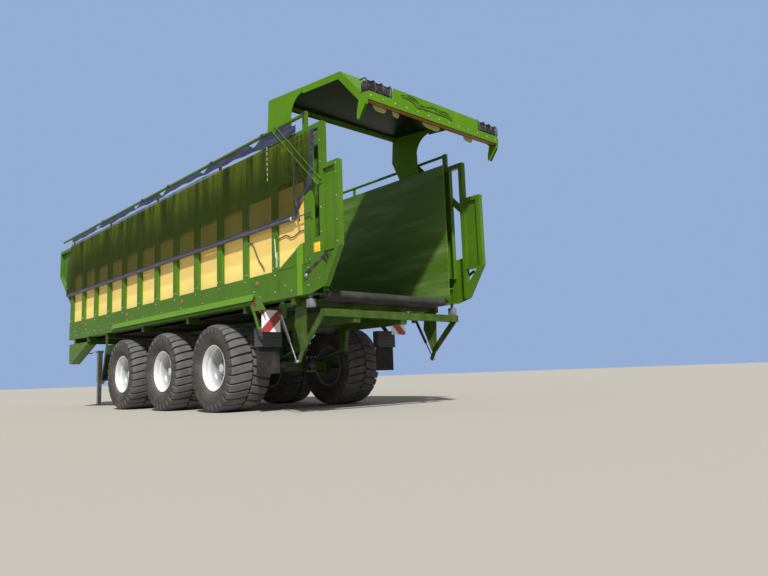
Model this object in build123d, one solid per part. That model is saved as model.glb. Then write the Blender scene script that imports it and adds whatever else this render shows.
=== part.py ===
from build123d import *
import os
from math import cos, hypot, pi, radians, sin, tan

# Push-off trailer with three axles, in millimetres. X points to the drawbar, Y to the left, Z up.
# While it is drawn, x = 0 is the middle axle and z = 0 the ground.

# Axles, wheels and steering
AXLE_PITCH = 1820
TYRE_R = 680
TYRE_WIDTH = 710
TYRE_BORE_R = 335
BEAD_WIDTH = 530
LUG_HEIGHT = 42
LUG_WIDTH = 84
LUG_SLANT = 17
TREAD_FLATS = 16
RIM_FLANGE_R = 358
RIM_WIDTH = 592
RIM_LIP = 14
RIM_SEAT_GAP = 0.3
DISH_DEPTH = 226
DISC_THICKNESS = 16
HUB_R = 98
HUB_CAP_R = 68
HUB_SIDES = 11
AXLE_SIZE = 150
STUB_R = 45
STUB_REACH = 19
KINGPIN_INSET = 400
KINGPIN_R = 30
EYE_R = 62
EAR_THICKNESS = 25
EAR_GAP = 0.3
STEER_ARM = 210
TIE_ROD_R = 20
TIE_PIN_R = 14
TIE_EYE_CLEARANCE = 8
RUNNING_GAP = 0.3
SEAT_GAP = 0.3
ROUND_SIDES = 8

# Springs and chassis
BEAM_Y = 460
BEAM_WIDTH = 120
BEAM_LOW_Z = 1220
BEAM_HIGH_Z = 1440
OUTRIGGER_HEIGHT = 60
OUTRIGGER_WIDTH = 80
LEAF_WIDTH = 80
LEAF_THICKNESS = 34
LEAF_RISE = 130
HANGER_LENGTH = 120
HANGER_DROP = 330
TAB_DROP = 280
REAR_OUTRIGGER_X = -3950
FRONT_OUTRIGGER_BACK = 1086
NOSE_OUTRIGGER_BACK = 236

# Drawbar and parking jack
TOW_EYE_X = 6900
TOW_EYE_Z = 560
TOW_BORE_R = 25
TOW_CUP_R = 60
TOW_CUP_HEIGHT = 90
DRAWBAR_HEIGHT = 200
DRAWBAR_WIDTH = 120
DRAWBAR_NOSE_X = 6640
DRAWBAR_FLAT = 500
JACK_X = 6150
JACK_Y = 330
JACK_TUBE = 110
JACK_LEG = 88
JACK_FOOT = 260
JACK_FOOT_THICKNESS = 16

# Body
REAR_POST_X = -4340
POST_PITCH = 773
WINDOWS = 12
POST_WIDTH = 140
WALL_DEPTH = 210
WHEEL_INSET = 300
POST_WALL = 6
BOARD_SETBACK = 55
BOARD_THICKNESS = 20
RECESS_SETBACK = 33
SILL_WIDTH = 70
LINING_THICKNESS = 20
LINING_OVERHANG = 70
OUTER_DEPTH = 75
SIDE_LOW_Z = 1545
SIDE_HIGH_Z = 1940
RAIL_LOW_Z = 3690
RAIL_HIGH_Z = 3760
FRONT_TOP_REACH = 924
FRONT_LOW_REACH = 100
FRONT_KNEE_Z = 3150
FRONT_HEEL_Z = 2450
FRONT_POST = 60
COVER_RAIL_R = 25
COVER_RAIL_Z = 3975
COVER_RAIL_REACH = 764
COVER_RAIL_REAR_X = -4330
BRACE_FRONT_X = -3610
BRACE_WIDTH = 100
SKIRT_WIDTH = 52
SKIRT_THICKNESS = 8
SKIRT_Z = 1600
SKIRT_RISE = 100
SKIRT_FRONT_X = 2310
SKIRT_REAR_X = -3050
RECESS_POSTS = 2
GUSSET_THICKNESS = 6
GUSSET_REACH = 695
FOLD_WIDTH = 115
FOLD_THICKNESS = 16
REAR_POST_BACK = 300
REAR_POST_WIDTH = 80
OUTER_POST_BACK = 610
OUTER_POST_WIDTH = 70
OUTER_POST_LOW_Z = 2080
OUTER_POST_HIGH_Z = 3170
FASCIA_LOW_Z = 3040
FASCIA_SETBACK = 18
FASCIA_OVERLAP = 20

# Floor belt
BELT_TOP_Z = 1620
BELT_THICKNESS = 8
BELT_HALF_WIDTH = 1140
ROLLER_R = 50
ROLLER_SHAFT_R = 20
ROLLER_FRONT_BACK = 11
ROLLER_REAR_X = -4330
DECK_THICKNESS = 22

# Side cover and its roll tube
COVER_THICKNESS = 6
COVER_GAP = 0.5
COVER_TOP_Z = 3945
COVER_CORNER_DROP = 500
COVER_CORNER_REACH = 190
TUBE_R = 26
TUBE_REACH = 214
TUBE_REAR_X = -4090
TUBE_Z = 2585
TUBE_SHAFT_R = 9
TUBE_SHAFT_REAR_X = -4480

# Push wall
WALL_CLEARANCE = 5
WALL_SKIN = 6
WALL_RIB = 80
WALL_BACK = 36
WALL_LEAN = 760
WALL_KNEE_Z = 2500
WALL_HIP_Z = 3180
WALL_SHOE = 140
WALL_RIB_WIDTH = 60
WALL_RIBS = 5
WALL_RIB_INSET = 60

# Tailgate, drawn raised
PIVOT_X = -3730
PIVOT_Z = 3230
PIVOT_R = 30
PIVOT_HUB_R = 85
GATE_CLEARANCE = 32
GATE_SIDE = 10
GATE_SKIN = 6
GATE_FRONT = (-3240, 4560)
GATE_KINK = (-4910, 4380)
GATE_REAR = (-5400, 3850)
GATE_EDGE = (-3200, 4100)
ARCH_X = -4100
ARCH_Z = 4090
ARCH_R = 310
GATE_FLANGE = 95
GATE_SWING = 84
BEAM_REAR_X = -5440
BEAM_DEPTH = 110
BEAM_Z = 3820
BEAM_HEIGHT = 110
BACK_PLATE_TOP_Z = 4080
BACK_PLATE_HALF = 840
LOCK_PIN_X = -4310
LOCK_PIN_Z = 1785
LOCK_PIN_R = 16
HOOK_REACH = 38
HOOK_THICKNESS = 24
LAMP_HEIGHT = 130
LAMP_LENGTH = 380

# Tailgate rams
RAM_REACH = 46
RAM_FOOT_X = -4100
RAM_FOOT_Z = 2280
RAM_LEVER_X = -175
RAM_LEVER_Z = 280
RAM_BARREL_R = 25
RAM_BORE_R = 17
RAM_ROD_R = 14
RAM_EYE_R = 24
RAM_PIN_R = 12
RAM_BARREL_LENGTH = 640
RAM_ROD_LENGTH = 740

# Folding underrun guard and its rams
GUARD_PIVOT_X = -4000
GUARD_PIVOT_Z = 860
GUARD_PIN_R = 14
GUARD_ARM_INSET = 140
GUARD_ARM_THICKNESS = 20
GUARD_REACH_X = -450
GUARD_REACH_Z = 440
GUARD_TAIL_X = 90
GUARD_TAIL_Z = -160
GUARD_BAR = 100
GUARD_ARM_WIDTH = 90
GUARD_SWING = 90
GUARD_RAM_TOP_X = -3560
GUARD_RAM_TOP_Z = 1340
GUARD_RAM_REACH = 45
GUARD_RAM_R = 22
GUARD_RAM_BORE_R = 13
GUARD_ROD_R = 10
GUARD_BARREL_LENGTH = 420
GUARD_ROD_LENGTH = 430

# Marker boards, mud flaps and lockers
MARKER_SIZE = 310
MARKER_THICKNESS = 4
MARKER_BACK = 150
MARKER_INSET = 165
MARKER_Z = 1298
FLAP_AHEAD = 90
FLAP_LOW_Z = 560
FLAP_HIGH_Z = 945
FLAP_WIDTH = 384
FLAP_INSET = 80
FLAP_BOX_HEIGHT = 270
FLAP_BOX_DEPTH = 130
LOCKER_REAR_X = 3900
LOCKER_Z = 985
LOCKER_WIDTH = 210

# Hoses in the left wall
HOSE_R = 7
HOSE_INSET = 20

# Values that follow from the driving dimensions
AXLES = (("front", AXLE_PITCH), ("middle", 0), ("rear", -AXLE_PITCH))
STEERED = ("front", "rear")
WHEEL_Z = TYRE_R
LINING_Y = BELT_HALF_WIDTH + SILL_WIDTH
POST_FACE_Y = LINING_Y + WALL_DEPTH
WHEEL_Y = POST_FACE_Y - WHEEL_INSET
KINGPIN_Y = WHEEL_Y - KINGPIN_INSET
TREAD_R = TYRE_R - LUG_HEIGHT
FRONT_POST_X = REAR_POST_X + WINDOWS * POST_PITCH
POST_X = [REAR_POST_X + i * POST_PITCH for i in range(WINDOWS + 1)]
BODY_REAR_X = REAR_POST_X - LINING_OVERHANG
BODY_FRONT_X = FRONT_POST_X + LINING_OVERHANG
FRONT_TOP_X = FRONT_POST_X + FRONT_TOP_REACH
FRONT_LOW_X = FRONT_POST_X + FRONT_LOW_REACH
COVER_RAIL_FRONT_X = FRONT_POST_X + COVER_RAIL_REACH
ROLLER_FRONT_X = FRONT_POST_X - ROLLER_FRONT_BACK
TUBE_FRONT_X = FRONT_POST_X + TUBE_REACH
WALL_LOW_X = FRONT_POST_X - WALL_BACK
BOARD_FACE_Y = POST_FACE_Y - BOARD_SETBACK
OUTER_Y = POST_FACE_Y - OUTER_DEPTH
LINING_BACK_Y = LINING_Y + LINING_THICKNESS
ROLLER_Z = BELT_TOP_Z - BELT_THICKNESS - ROLLER_R
HANGER_X = [(i - 1.5) * AXLE_PITCH for i in range(len(AXLES) + 1)]
FRONT_OUTRIGGERS = (FRONT_POST_X - FRONT_OUTRIGGER_BACK, FRONT_POST_X - NOSE_OUTRIGGER_BACK)
OUTRIGGER_X = (REAR_OUTRIGGER_X, *HANGER_X, *FRONT_OUTRIGGERS)
KNUCKLE_Z = (WHEEL_Z - AXLE_SIZE / 2, WHEEL_Z + AXLE_SIZE / 2)
HUB_BACK = 70
DECK_LOW_Z = BELT_TOP_Z - BELT_THICKNESS - RUNNING_GAP - DECK_THICKNESS
BEAM_FRONT_X = OUTRIGGER_X[-1] + 200
WALL_RIB_PITCH = 2 * (LINING_Y - WALL_RIB_INSET) / (WALL_RIBS - 1)
WALL_RIB_Y = [WALL_RIB_INSET - LINING_Y + i * WALL_RIB_PITCH for i in range(WALL_RIBS)]
GATE_HALF_WIDTH = LINING_BACK_Y + GATE_CLEARANCE
HOOK_Y = GATE_HALF_WIDTH + HOOK_REACH
RAM_Y = GATE_HALF_WIDTH + RAM_REACH
RAM_TOP = (PIVOT_X + RAM_LEVER_X, PIVOT_Z + RAM_LEVER_Z)
RAM_FOOT = (RAM_FOOT_X, RAM_FOOT_Z)
GUARD_ARM_Y = POST_FACE_Y - GUARD_ARM_INSET
GUARD_RAM_Y = GUARD_ARM_Y + GUARD_RAM_REACH
GUARD_EYE = (GUARD_PIVOT_X + GUARD_TAIL_X, GUARD_PIVOT_Z + GUARD_TAIL_Z)
GUARD_RAM_TOP = (GUARD_RAM_TOP_X, GUARD_RAM_TOP_Z)
MARKER_X = SKIRT_REAR_X - MARKER_BACK
MARKER_Y = POST_FACE_Y - MARKER_INSET
FLAP_X = SKIRT_REAR_X + FLAP_AHEAD


def turned(centre, point, angle):
    """An (x, z) point turned by degrees about another, positive from +X towards +Z."""
    a = radians(angle)
    dx, dz = point[0] - centre[0], point[1] - centre[1]
    return (centre[0] + dx * cos(a) - dz * sin(a), centre[1] + dx * sin(a) + dz * cos(a))


HOOK_X, HOOK_Z = turned((PIVOT_X, PIVOT_Z), (LOCK_PIN_X, LOCK_PIN_Z), -GATE_SWING)


def block(x, y, z):
    """Box between a low and a high value on each axis."""
    size = [high - low for low, high in (x, y, z)]
    middle = [(high + low) / 2 for low, high in (x, y, z)]
    return Pos(*middle) * Box(*size)


def slab(points, y_low, y_high):
    """Plate in the XZ plane, given by its outline's (x, z) points, from one y to another."""
    outline = Polyline(*[(x, y_low, z) for x, z in points], close=True)
    return extrude(make_face(outline), y_high - y_low, dir=(0, 1, 0))


def strut(start, end, width, y_low, y_high):
    """Flat bar of one width between two (x, z) points."""
    length = hypot(end[0] - start[0], end[1] - start[1])
    nx = -(end[1] - start[1]) / length * width / 2
    nz = (end[0] - start[0]) / length * width / 2
    corners = [
        (start[0] + nx, start[1] + nz),
        (end[0] + nx, end[1] + nz),
        (end[0] - nx, end[1] - nz),
        (start[0] - nx, start[1] - nz),
    ]
    return slab(corners, y_low, y_high)


def bar(start, end, radius, sides=ROUND_SIDES, bore=False):
    """Many-sided bar between two points, or round with no sides. A bore's flats lie on its radius."""
    along = Vector(*end) - Vector(*start)
    outline = Circle(radius)
    if sides:
        outline = RegularPolygon(radius, sides, major_radius=not bore, rotation=180 / sides if bore else 0)
    return Plane(origin=start, z_dir=along) * extrude(outline, along.length)


def cross_bar(x, z, radius, y_low, y_high, sides=ROUND_SIDES, bore=False):
    """Bar along Y."""
    return bar((x, y_low, z), (x, y_high, z), radius, sides, bore)


def cross_bore(x, z, radius, y_low, y_high):
    """Hole along Y for a bar of the same radius, its flats outside the bar's corners."""
    return cross_bar(x, z, radius, y_low, y_high, bore=True)


def mirrored(shape):
    """The same piece on the right-hand side."""
    return mirror(shape, about=Plane.XZ)


def both(shape):
    """A left piece and its mirrored twin."""
    return [shape, mirrored(shape)]


def flat_ring(profile, sides):
    """Ring with flat facets about the Y axis. The profile's points are (y, distance of the flat)."""
    def corner(point, step):
        angle = 2 * pi * (step - 0.5) / sides - pi / 2
        reach = point[1] / cos(pi / sides)
        return (reach * cos(angle), point[0], reach * sin(angle))

    faces = []
    for step in range(sides):
        for first, second in zip(profile, profile[1:] + profile[:1]):
            near = [corner(first, step), corner(second, step)]
            far = [corner(second, step + 1), corner(first, step + 1)]
            loop = near + far
            faces.append(Face(Wire(Polyline(*loop, close=True))))
    return Solid(Shell(faces))


# Wheels
def make_tyre():
    half = TYRE_WIDTH / 2
    bead = BEAD_WIDTH / 2
    carcass = [
        (bead, TYRE_BORE_R),
        (half, TYRE_BORE_R + 0.55 * (TREAD_R - TYRE_BORE_R)),
        (half - 45, TREAD_R),
        (45 - half, TREAD_R),
        (-half, TYRE_BORE_R + 0.55 * (TREAD_R - TYRE_BORE_R)),
        (-bead, TYRE_BORE_R),
    ]
    tyre = flat_ring(carcass, TREAD_FLATS)
    lug_outline = [
        (18, TREAD_R - 30),
        (18, TYRE_R),
        (half - 22, TYRE_R),
        (half - 12, TREAD_R - 60),
    ]
    lugs = []
    for hand in (1, -1):
        points = [(0, hand * y, -r) for y, r in lug_outline]
        face = make_face(Polyline(*points, close=True))
        lug = extrude(face, LUG_WIDTH / 2, dir=(1, 0, 0), both=True)
        middle = hand * half / 2
        lug = Pos(0, middle, 0) * Rot(0, 0, hand * LUG_SLANT) * Pos(0, -middle, 0) * lug
        lugs += [Rot(0, 360 / TREAD_FLATS * step, 0) * lug for step in range(TREAD_FLATS)]
    return Part() + [tyre, *lugs]


def make_rim():
    edge = RIM_WIDTH / 2
    seat = TYRE_BORE_R - RIM_SEAT_GAP
    disc_y = edge - DISH_DEPTH
    profile = [
        (edge, RIM_FLANGE_R),
        (edge, seat - 12),
        (disc_y + 30, seat - 36),
        (disc_y, 0.5 * seat),
        (disc_y, HUB_R),
        (disc_y - DISC_THICKNESS, HUB_R),
        (disc_y - DISC_THICKNESS, seat - 50),
        (-edge, seat - 18),
        (-edge, RIM_FLANGE_R),
        (RIM_LIP - edge, RIM_FLANGE_R),
        (RIM_LIP - edge, seat),
        (edge - RIM_LIP, seat),
        (edge - RIM_LIP, RIM_FLANGE_R),
    ]
    rim = flat_ring(profile, TREAD_FLATS)
    facing = Plane(origin=(0, 0, 0), x_dir=(1, 0, 0), z_dir=(0, 1, 0))
    drum_length = HUB_BACK + disc_y + 18
    drum = facing * Pos(0, 0, -HUB_BACK) * extrude(RegularPolygon(HUB_R + 8, HUB_SIDES), drum_length)
    cap = facing * Pos(0, 0, disc_y) * extrude(RegularPolygon(HUB_CAP_R, HUB_SIDES), 90)
    socket = facing * Pos(0, 0, -HUB_BACK) * extrude(
        RegularPolygon(STUB_R + RUNNING_GAP, HUB_SIDES, major_radius=False), HUB_BACK + 20
    )
    return Part() + [rim, drum, cap] - socket


def make_wheels():
    """Tyre and rim at each axle end, the dished side outwards."""
    tyre = make_tyre()
    rim = make_rim()
    for axle, x in AXLES:
        place = Pos(x, WHEEL_Y, WHEEL_Z)
        parts[f"tyre_{axle}_left"], parts[f"tyre_{axle}_right"] = both(place * tyre)
        parts[f"rim_{axle}_left"], parts[f"rim_{axle}_right"] = both(place * rim)


# Axles, steering and springs
def make_axles():
    low, high = KNUCKLE_Z
    half = AXLE_SIZE / 2
    stub_end = WHEEL_Y + STUB_REACH
    axles = []
    for axle, x in AXLES:
        if axle not in STEERED:
            beam = block((x - half, x + half), (-WHEEL_Y + 90, WHEEL_Y - 90), (low, high))
            stub = cross_bar(x, WHEEL_Z, STUB_R, -stub_end, stub_end)
            axles.append(beam + stub)
            continue
        reach = KINGPIN_Y - EYE_R * 0.6
        beam = block((x - half, x + half), (-reach, reach), (low, high))
        ends = (x, KINGPIN_Y, low), (x, KINGPIN_Y, high)
        eye = bar(*ends, EYE_R)
        hole = bar(*ends, KINGPIN_R + RUNNING_GAP, bore=True)
        beam = Part() + [beam, *both(eye)]
        axles.append(beam - hole - mirrored(hole))
    parts["axles"] = Part() + axles


def make_knuckle(x, arm_way):
    """Left knuckle: two ears about the axle's eye, a web, the stub shaft and the steering arm."""
    low, high = KNUCKLE_Z
    ear_half = EYE_R + 6
    web_y = KINGPIN_Y + EYE_R + 22
    web_back = web_y + 34
    wide = (x - ear_half, x + ear_half)
    ear_low = low - EAR_GAP - EAR_THICKNESS
    ear_high = high + EAR_GAP + EAR_THICKNESS
    upper = block(wide, (KINGPIN_Y - ear_half, web_back), (high + EAR_GAP, ear_high))
    lower = block(wide, (KINGPIN_Y - ear_half, web_back), (ear_low, low - EAR_GAP))
    web = block(wide, (web_y, web_back), (ear_low, ear_high))
    pin = bar((x, KINGPIN_Y, low - EAR_GAP), (x, KINGPIN_Y, high + EAR_GAP), KINGPIN_R)
    stub = cross_bar(x, WHEEL_Z, STUB_R, web_back, WHEEL_Y + STUB_REACH)
    arm_tip = x + arm_way * STEER_ARM
    arm_x = (min(x, arm_tip), max(x, arm_tip))
    arm = block(arm_x, (KINGPIN_Y - 30, KINGPIN_Y + 30), (ear_low, ear_low + EAR_THICKNESS))
    ball_z = ear_low + EAR_THICKNESS
    pad = bar((arm_tip, KINGPIN_Y, ear_low), (arm_tip, KINGPIN_Y, ball_z), 30)
    ball = bar((arm_tip, KINGPIN_Y, ball_z), (arm_tip, KINGPIN_Y, ball_z + 48), TIE_PIN_R)
    return Part() + [upper, lower, web, pin, stub, arm, pad, ball]


def make_tie_rod(x):
    """Rod from one arm's pin to the other, its eyes wide enough for the arms' swing."""
    base = KNUCKLE_Z[0]
    eye_height = 2 * TIE_ROD_R
    bore = TIE_PIN_R + TIE_EYE_CLEARANCE
    ends = (x, KINGPIN_Y, base), (x, KINGPIN_Y, base + eye_height)
    eye = bar(*ends, bore + 12)
    hole = bar(*ends, bore, bore=True)
    rod_y = KINGPIN_Y - bore - 6
    rod = cross_bar(x, base + eye_height / 2, TIE_ROD_R * 0.8, -rod_y, rod_y)
    return Part() + [rod, *both(eye)] - hole - mirrored(hole)


def make_steering():
    for axle, x in AXLES:
        if axle not in STEERED:
            continue
        arm_way = -1 if x > 0 else 1
        knuckle = make_knuckle(x, arm_way)
        parts[f"knuckle_{axle}_left"] = knuckle
        parts[f"knuckle_{axle}_right"] = mirrored(knuckle)
        parts[f"tie_rod_{axle}"] = make_tie_rod(x + arm_way * STEER_ARM)


def make_suspension():
    """Leaf springs over the axles between shared hangers, on both sides."""
    springs = []
    y_low, y_high = BEAM_Y - LEAF_WIDTH / 2, BEAM_Y + LEAF_WIDTH / 2
    seat_z = WHEEL_Z + AXLE_SIZE / 2
    reach = (AXLE_PITCH - HANGER_LENGTH) / 2 + 10
    for axle, x in AXLES:
        bow = [(x + reach * s, seat_z + LEAF_RISE * s * s) for s in (1, 0.5, 0, -0.5, -1)]
        leaf = slab(band(bow, LEAF_THICKNESS), y_low, y_high)
        clamp = block((x - 70, x + 70), (y_low - 15, y_high + 15), (seat_z, seat_z + LEAF_THICKNESS + 40))
        springs += both(leaf + clamp)
    for x in HANGER_X:
        half = HANGER_LENGTH / 2
        outline = [
            (x - half - 40, BEAM_LOW_Z),
            (x + half + 40, BEAM_LOW_Z),
            (x + half, BEAM_LOW_Z - HANGER_DROP * 0.6),
            (x + half, BEAM_LOW_Z - HANGER_DROP),
            (x - half, BEAM_LOW_Z - HANGER_DROP),
            (x - half, BEAM_LOW_Z - HANGER_DROP * 0.6),
        ]
        springs += both(slab(outline, y_low, y_high))
    parts["suspension"] = Part() + springs


# Chassis
def make_chassis():
    beam_inner, beam_outer = BEAM_Y - BEAM_WIDTH / 2, BEAM_Y + BEAM_WIDTH / 2
    beam = block((BODY_REAR_X + 260, BEAM_FRONT_X), (beam_inner, beam_outer), (BEAM_LOW_Z, BEAM_HIGH_Z))
    pieces = both(beam)
    high = BEAM_HIGH_Z + OUTRIGGER_HEIGHT
    half = OUTRIGGER_WIDTH / 2
    inner = BELT_HALF_WIDTH + 60
    reach = POST_FACE_Y - 20
    for x in OUTRIGGER_X:
        pieces.append(block((x - half, x + half), (-reach, reach), (BEAM_HIGH_Z, high)))
        pieces += both(block((x - half, x + half), (inner, reach), (high, SIDE_LOW_Z)))
    for x in (*HANGER_X, OUTRIGGER_X[-1]):
        pieces.append(block((x - half, x + half), (-beam_inner, beam_inner), (BEAM_LOW_Z + 40, BEAM_HIGH_Z)))
    tab_x = (HANGER_X[-1] - half, HANGER_X[-1] + half)
    pieces += both(block(tab_x, (reach - 20, reach), (BEAM_HIGH_Z - TAB_DROP, BEAM_HIGH_Z)))
    parts["chassis_frame"] = Part() + pieces


def make_rear_carrier():
    """Rear cross beam with the brackets that hold the underrun guard and its rams."""
    high = BEAM_HIGH_Z + OUTRIGGER_HEIGHT
    x = OUTRIGGER_X[0]
    outer = GUARD_ARM_Y - GUARD_ARM_THICKNESS / 2 - 2
    bracket = slab(
        [
            (x - 120, BEAM_HIGH_Z - SEAT_GAP),
            (x + 120, BEAM_HIGH_Z - SEAT_GAP),
            (GUARD_PIVOT_X + 210, GUARD_PIVOT_Z + 330),
            (GUARD_PIVOT_X + 45, GUARD_PIVOT_Z - 30),
            (GUARD_PIVOT_X - 45, GUARD_PIVOT_Z - 30),
            (GUARD_PIVOT_X - 60, GUARD_PIVOT_Z + 330),
        ],
        outer - 20,
        outer,
    )
    pin_end = GUARD_ARM_Y + GUARD_ARM_THICKNESS / 2 + 6
    pin = cross_bar(GUARD_PIVOT_X, GUARD_PIVOT_Z, GUARD_PIN_R, outer, pin_end)
    ram_pin_end = GUARD_RAM_Y + GUARD_RAM_R
    ram_pin = cross_bar(GUARD_RAM_TOP_X, GUARD_RAM_TOP_Z, GUARD_PIN_R, GUARD_RAM_Y - 42, ram_pin_end)
    cheek = slab(
        [
            (GUARD_RAM_TOP_X - 40, GUARD_RAM_TOP_Z - 30),
            (GUARD_RAM_TOP_X + 40, GUARD_RAM_TOP_Z - 30),
            (GUARD_RAM_TOP_X + 60, BEAM_HIGH_Z),
            (GUARD_RAM_TOP_X - 60, BEAM_HIGH_Z),
        ],
        GUARD_RAM_Y - 62,
        GUARD_RAM_Y - 42,
    )
    rail = block((x + 120, GUARD_RAM_TOP_X + 80), (outer - 20, GUARD_RAM_Y - 22), (BEAM_HIGH_Z, high))
    seat = OUTRIGGER_WIDTH / 2 + SEAT_GAP
    foot = block((x - 120, x - seat), (outer - 20, outer + 20), (BEAM_HIGH_Z - SEAT_GAP, high))
    link = block((x + seat, x + 120), (outer - 20, outer + 20), (BEAM_HIGH_Z - SEAT_GAP, high))
    parts["guard_brackets"] = Part() + both(Part() + [bracket, pin, ram_pin, cheek, rail, foot, link])


def make_drawbar():
    """Two bars that drop from the chassis beams and meet at the coupling's nose plate."""
    start_x = BEAM_FRONT_X
    high_z = BEAM_HIGH_Z
    nose_z = TOW_EYE_Z + 60
    outline = [
        (start_x, high_z),
        (start_x + 420, high_z),
        (DRAWBAR_NOSE_X - DRAWBAR_FLAT, nose_z + DRAWBAR_HEIGHT),
        (DRAWBAR_NOSE_X, nose_z + DRAWBAR_HEIGHT),
        (DRAWBAR_NOSE_X, nose_z),
        (DRAWBAR_NOSE_X - DRAWBAR_FLAT - 60, nose_z),
        (start_x + 330, high_z - DRAWBAR_HEIGHT * 1.1),
        (start_x, high_z - DRAWBAR_HEIGHT * 1.1),
    ]
    side = slab(outline, -POST_FACE_Y, POST_FACE_Y)
    inner, outer = BEAM_Y - BEAM_WIDTH / 2, BEAM_Y + BEAM_WIDTH / 2
    bend_x = start_x + 300
    nose = DRAWBAR_WIDTH
    plan = Polyline(
        (start_x, inner, 0),
        (start_x, outer, 0),
        (bend_x, outer, 0),
        (DRAWBAR_NOSE_X, nose, 0),
        (DRAWBAR_NOSE_X, 0, 0),
        (DRAWBAR_NOSE_X - 260, 0, 0),
        (bend_x, inner, 0),
        close=True,
    )
    leg = extrude(make_face(plan), RAIL_HIGH_Z) & side
    nose_top = nose_z + DRAWBAR_HEIGHT
    plate = block((DRAWBAR_NOSE_X, DRAWBAR_NOSE_X + 25), (-130, 130), (nose_z - 20, nose_top + 20))
    tie_y = JACK_Y - JACK_TUBE / 2
    tie = block((JACK_X - 50, JACK_X + 50), (-tie_y, tie_y), (nose_z + 60, nose_top - 20)) & side
    parts["drawbar"] = Part() + [*both(leg), plate, tie]


def make_tow_eye():
    """Ball cup on a bolted flange."""
    base_z = TOW_EYE_Z + 60
    face_x = DRAWBAR_NOSE_X + 25
    flange = block((face_x, face_x + 30), (-110, 110), (base_z - 10, base_z + DRAWBAR_HEIGHT + 10))
    neck = slab(
        [
            (face_x + 30, base_z + DRAWBAR_HEIGHT - 20),
            (face_x + 30, base_z + 10),
            (TOW_EYE_X, TOW_EYE_Z - TOW_CUP_HEIGHT / 2 + 10),
            (TOW_EYE_X, TOW_EYE_Z + TOW_CUP_HEIGHT / 2 - 10),
        ],
        -40,
        40,
    )
    cup_z = (TOW_EYE_Z - TOW_CUP_HEIGHT / 2, TOW_EYE_Z + TOW_CUP_HEIGHT / 2)
    ends = [(TOW_EYE_X, 0, z) for z in cup_z]
    cup = bar(*ends, TOW_CUP_R, sides=16)
    hole = bar(*ends, TOW_BORE_R, sides=0)
    parts["tow_eye"] = Part() + [flange, neck, cup] - hole


def make_jack():
    """Parking jack beside the drawbar: outer tube with its gearbox, inner leg and foot plate."""
    nose_z = TOW_EYE_Z + 60
    low = nose_z - 60
    high = nose_z + DRAWBAR_HEIGHT + 480
    stack = (
        (JACK_FOOT, 0, JACK_FOOT_THICKNESS),
        (JACK_LEG, JACK_FOOT_THICKNESS, low),
        (JACK_TUBE, low, high),
        (JACK_TUBE + 30, high, high + 60),
    )
    pieces = []
    for width, z_low, z_high in stack:
        half = width / 2
        pieces.append(block((JACK_X - half, JACK_X + half), (JACK_Y - half, JACK_Y + half), (z_low, z_high)))
    parts["parking_jack"] = Part() + pieces


# Body
def make_post(x, index):
    """Pressed channel post, shallow beside the tailgate's arms."""
    half = POST_WIDTH / 2
    depth_y = OUTER_Y if index < RECESS_POSTS else LINING_BACK_Y
    outer = block((x - half, x + half), (depth_y, POST_FACE_Y), (SIDE_HIGH_Z, RAIL_LOW_Z))
    web_x = half - POST_WALL
    inner = block((x - web_x, x + web_x), (depth_y, POST_FACE_Y - POST_WALL), (SIDE_HIGH_Z, RAIL_LOW_Z))
    return outer - inner


def make_side_frame():
    """Lower side channel, posts, top rail and the leaning front corner of the left wall."""
    back = LINING_BACK_Y
    channel = block((BODY_REAR_X, FRONT_LOW_X), (back, POST_FACE_Y), (SIDE_LOW_Z, SIDE_HIGH_Z))
    web_y = POST_FACE_Y - POST_WALL
    hollow_z = (SIDE_LOW_Z + POST_WALL, SIDE_HIGH_Z - POST_WALL)
    hollow = block((BODY_REAR_X, FRONT_LOW_X), (back, web_y), hollow_z)
    posts = [make_post(x, i) for i, x in enumerate(POST_X)]
    rail_rear_x = REAR_POST_X - REAR_POST_BACK - REAR_POST_WIDTH / 2
    rail = block((rail_rear_x, FRONT_TOP_X), (OUTER_Y, POST_FACE_Y), (RAIL_LOW_Z, RAIL_HIGH_Z))
    knee = (FRONT_TOP_X - FRONT_POST, FRONT_KNEE_Z)
    front_post = block((knee[0], FRONT_TOP_X), (OUTER_Y, POST_FACE_Y), (FRONT_KNEE_Z, RAIL_LOW_Z))
    heel = (FRONT_POST_X + POST_WIDTH / 2, FRONT_HEEL_Z)
    lean = slab(
        [knee, (FRONT_TOP_X, FRONT_KNEE_Z), (heel[0], heel[1] - FRONT_POST), heel],
        OUTER_Y,
        POST_FACE_Y,
    )
    cheek = slab([knee, heel, (heel[0], RAIL_LOW_Z), (knee[0], RAIL_LOW_Z)], OUTER_Y, OUTER_Y + POST_WALL)
    lip_line = [
        (POST_FACE_Y, SKIRT_Z + SKIRT_RISE),
        (POST_FACE_Y + SKIRT_WIDTH, SKIRT_Z),
        (POST_FACE_Y + SKIRT_WIDTH, SKIRT_Z - SKIRT_THICKNESS),
        (POST_FACE_Y, SKIRT_Z + SKIRT_RISE - 1.5 * SKIRT_THICKNESS),
    ]
    lip = make_face(Polyline(*[(SKIRT_REAR_X, y, z) for y, z in lip_line], close=True))
    skirt = extrude(lip, SKIRT_FRONT_X - SKIRT_REAR_X, dir=(1, 0, 0))
    lock_pin = cross_bar(LOCK_PIN_X, LOCK_PIN_Z, LOCK_PIN_R, HOOK_Y - HOOK_THICKNESS, web_y)
    fascia_y = (web_y - FASCIA_SETBACK - POST_WALL, web_y - FASCIA_SETBACK)
    fascia = block((POST_X[1], FRONT_POST_X), fascia_y, (FASCIA_LOW_Z, RAIL_LOW_Z))
    return Part() + [channel - hollow, *posts, rail, front_post, lean, cheek, skirt, lock_pin, fascia]


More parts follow.
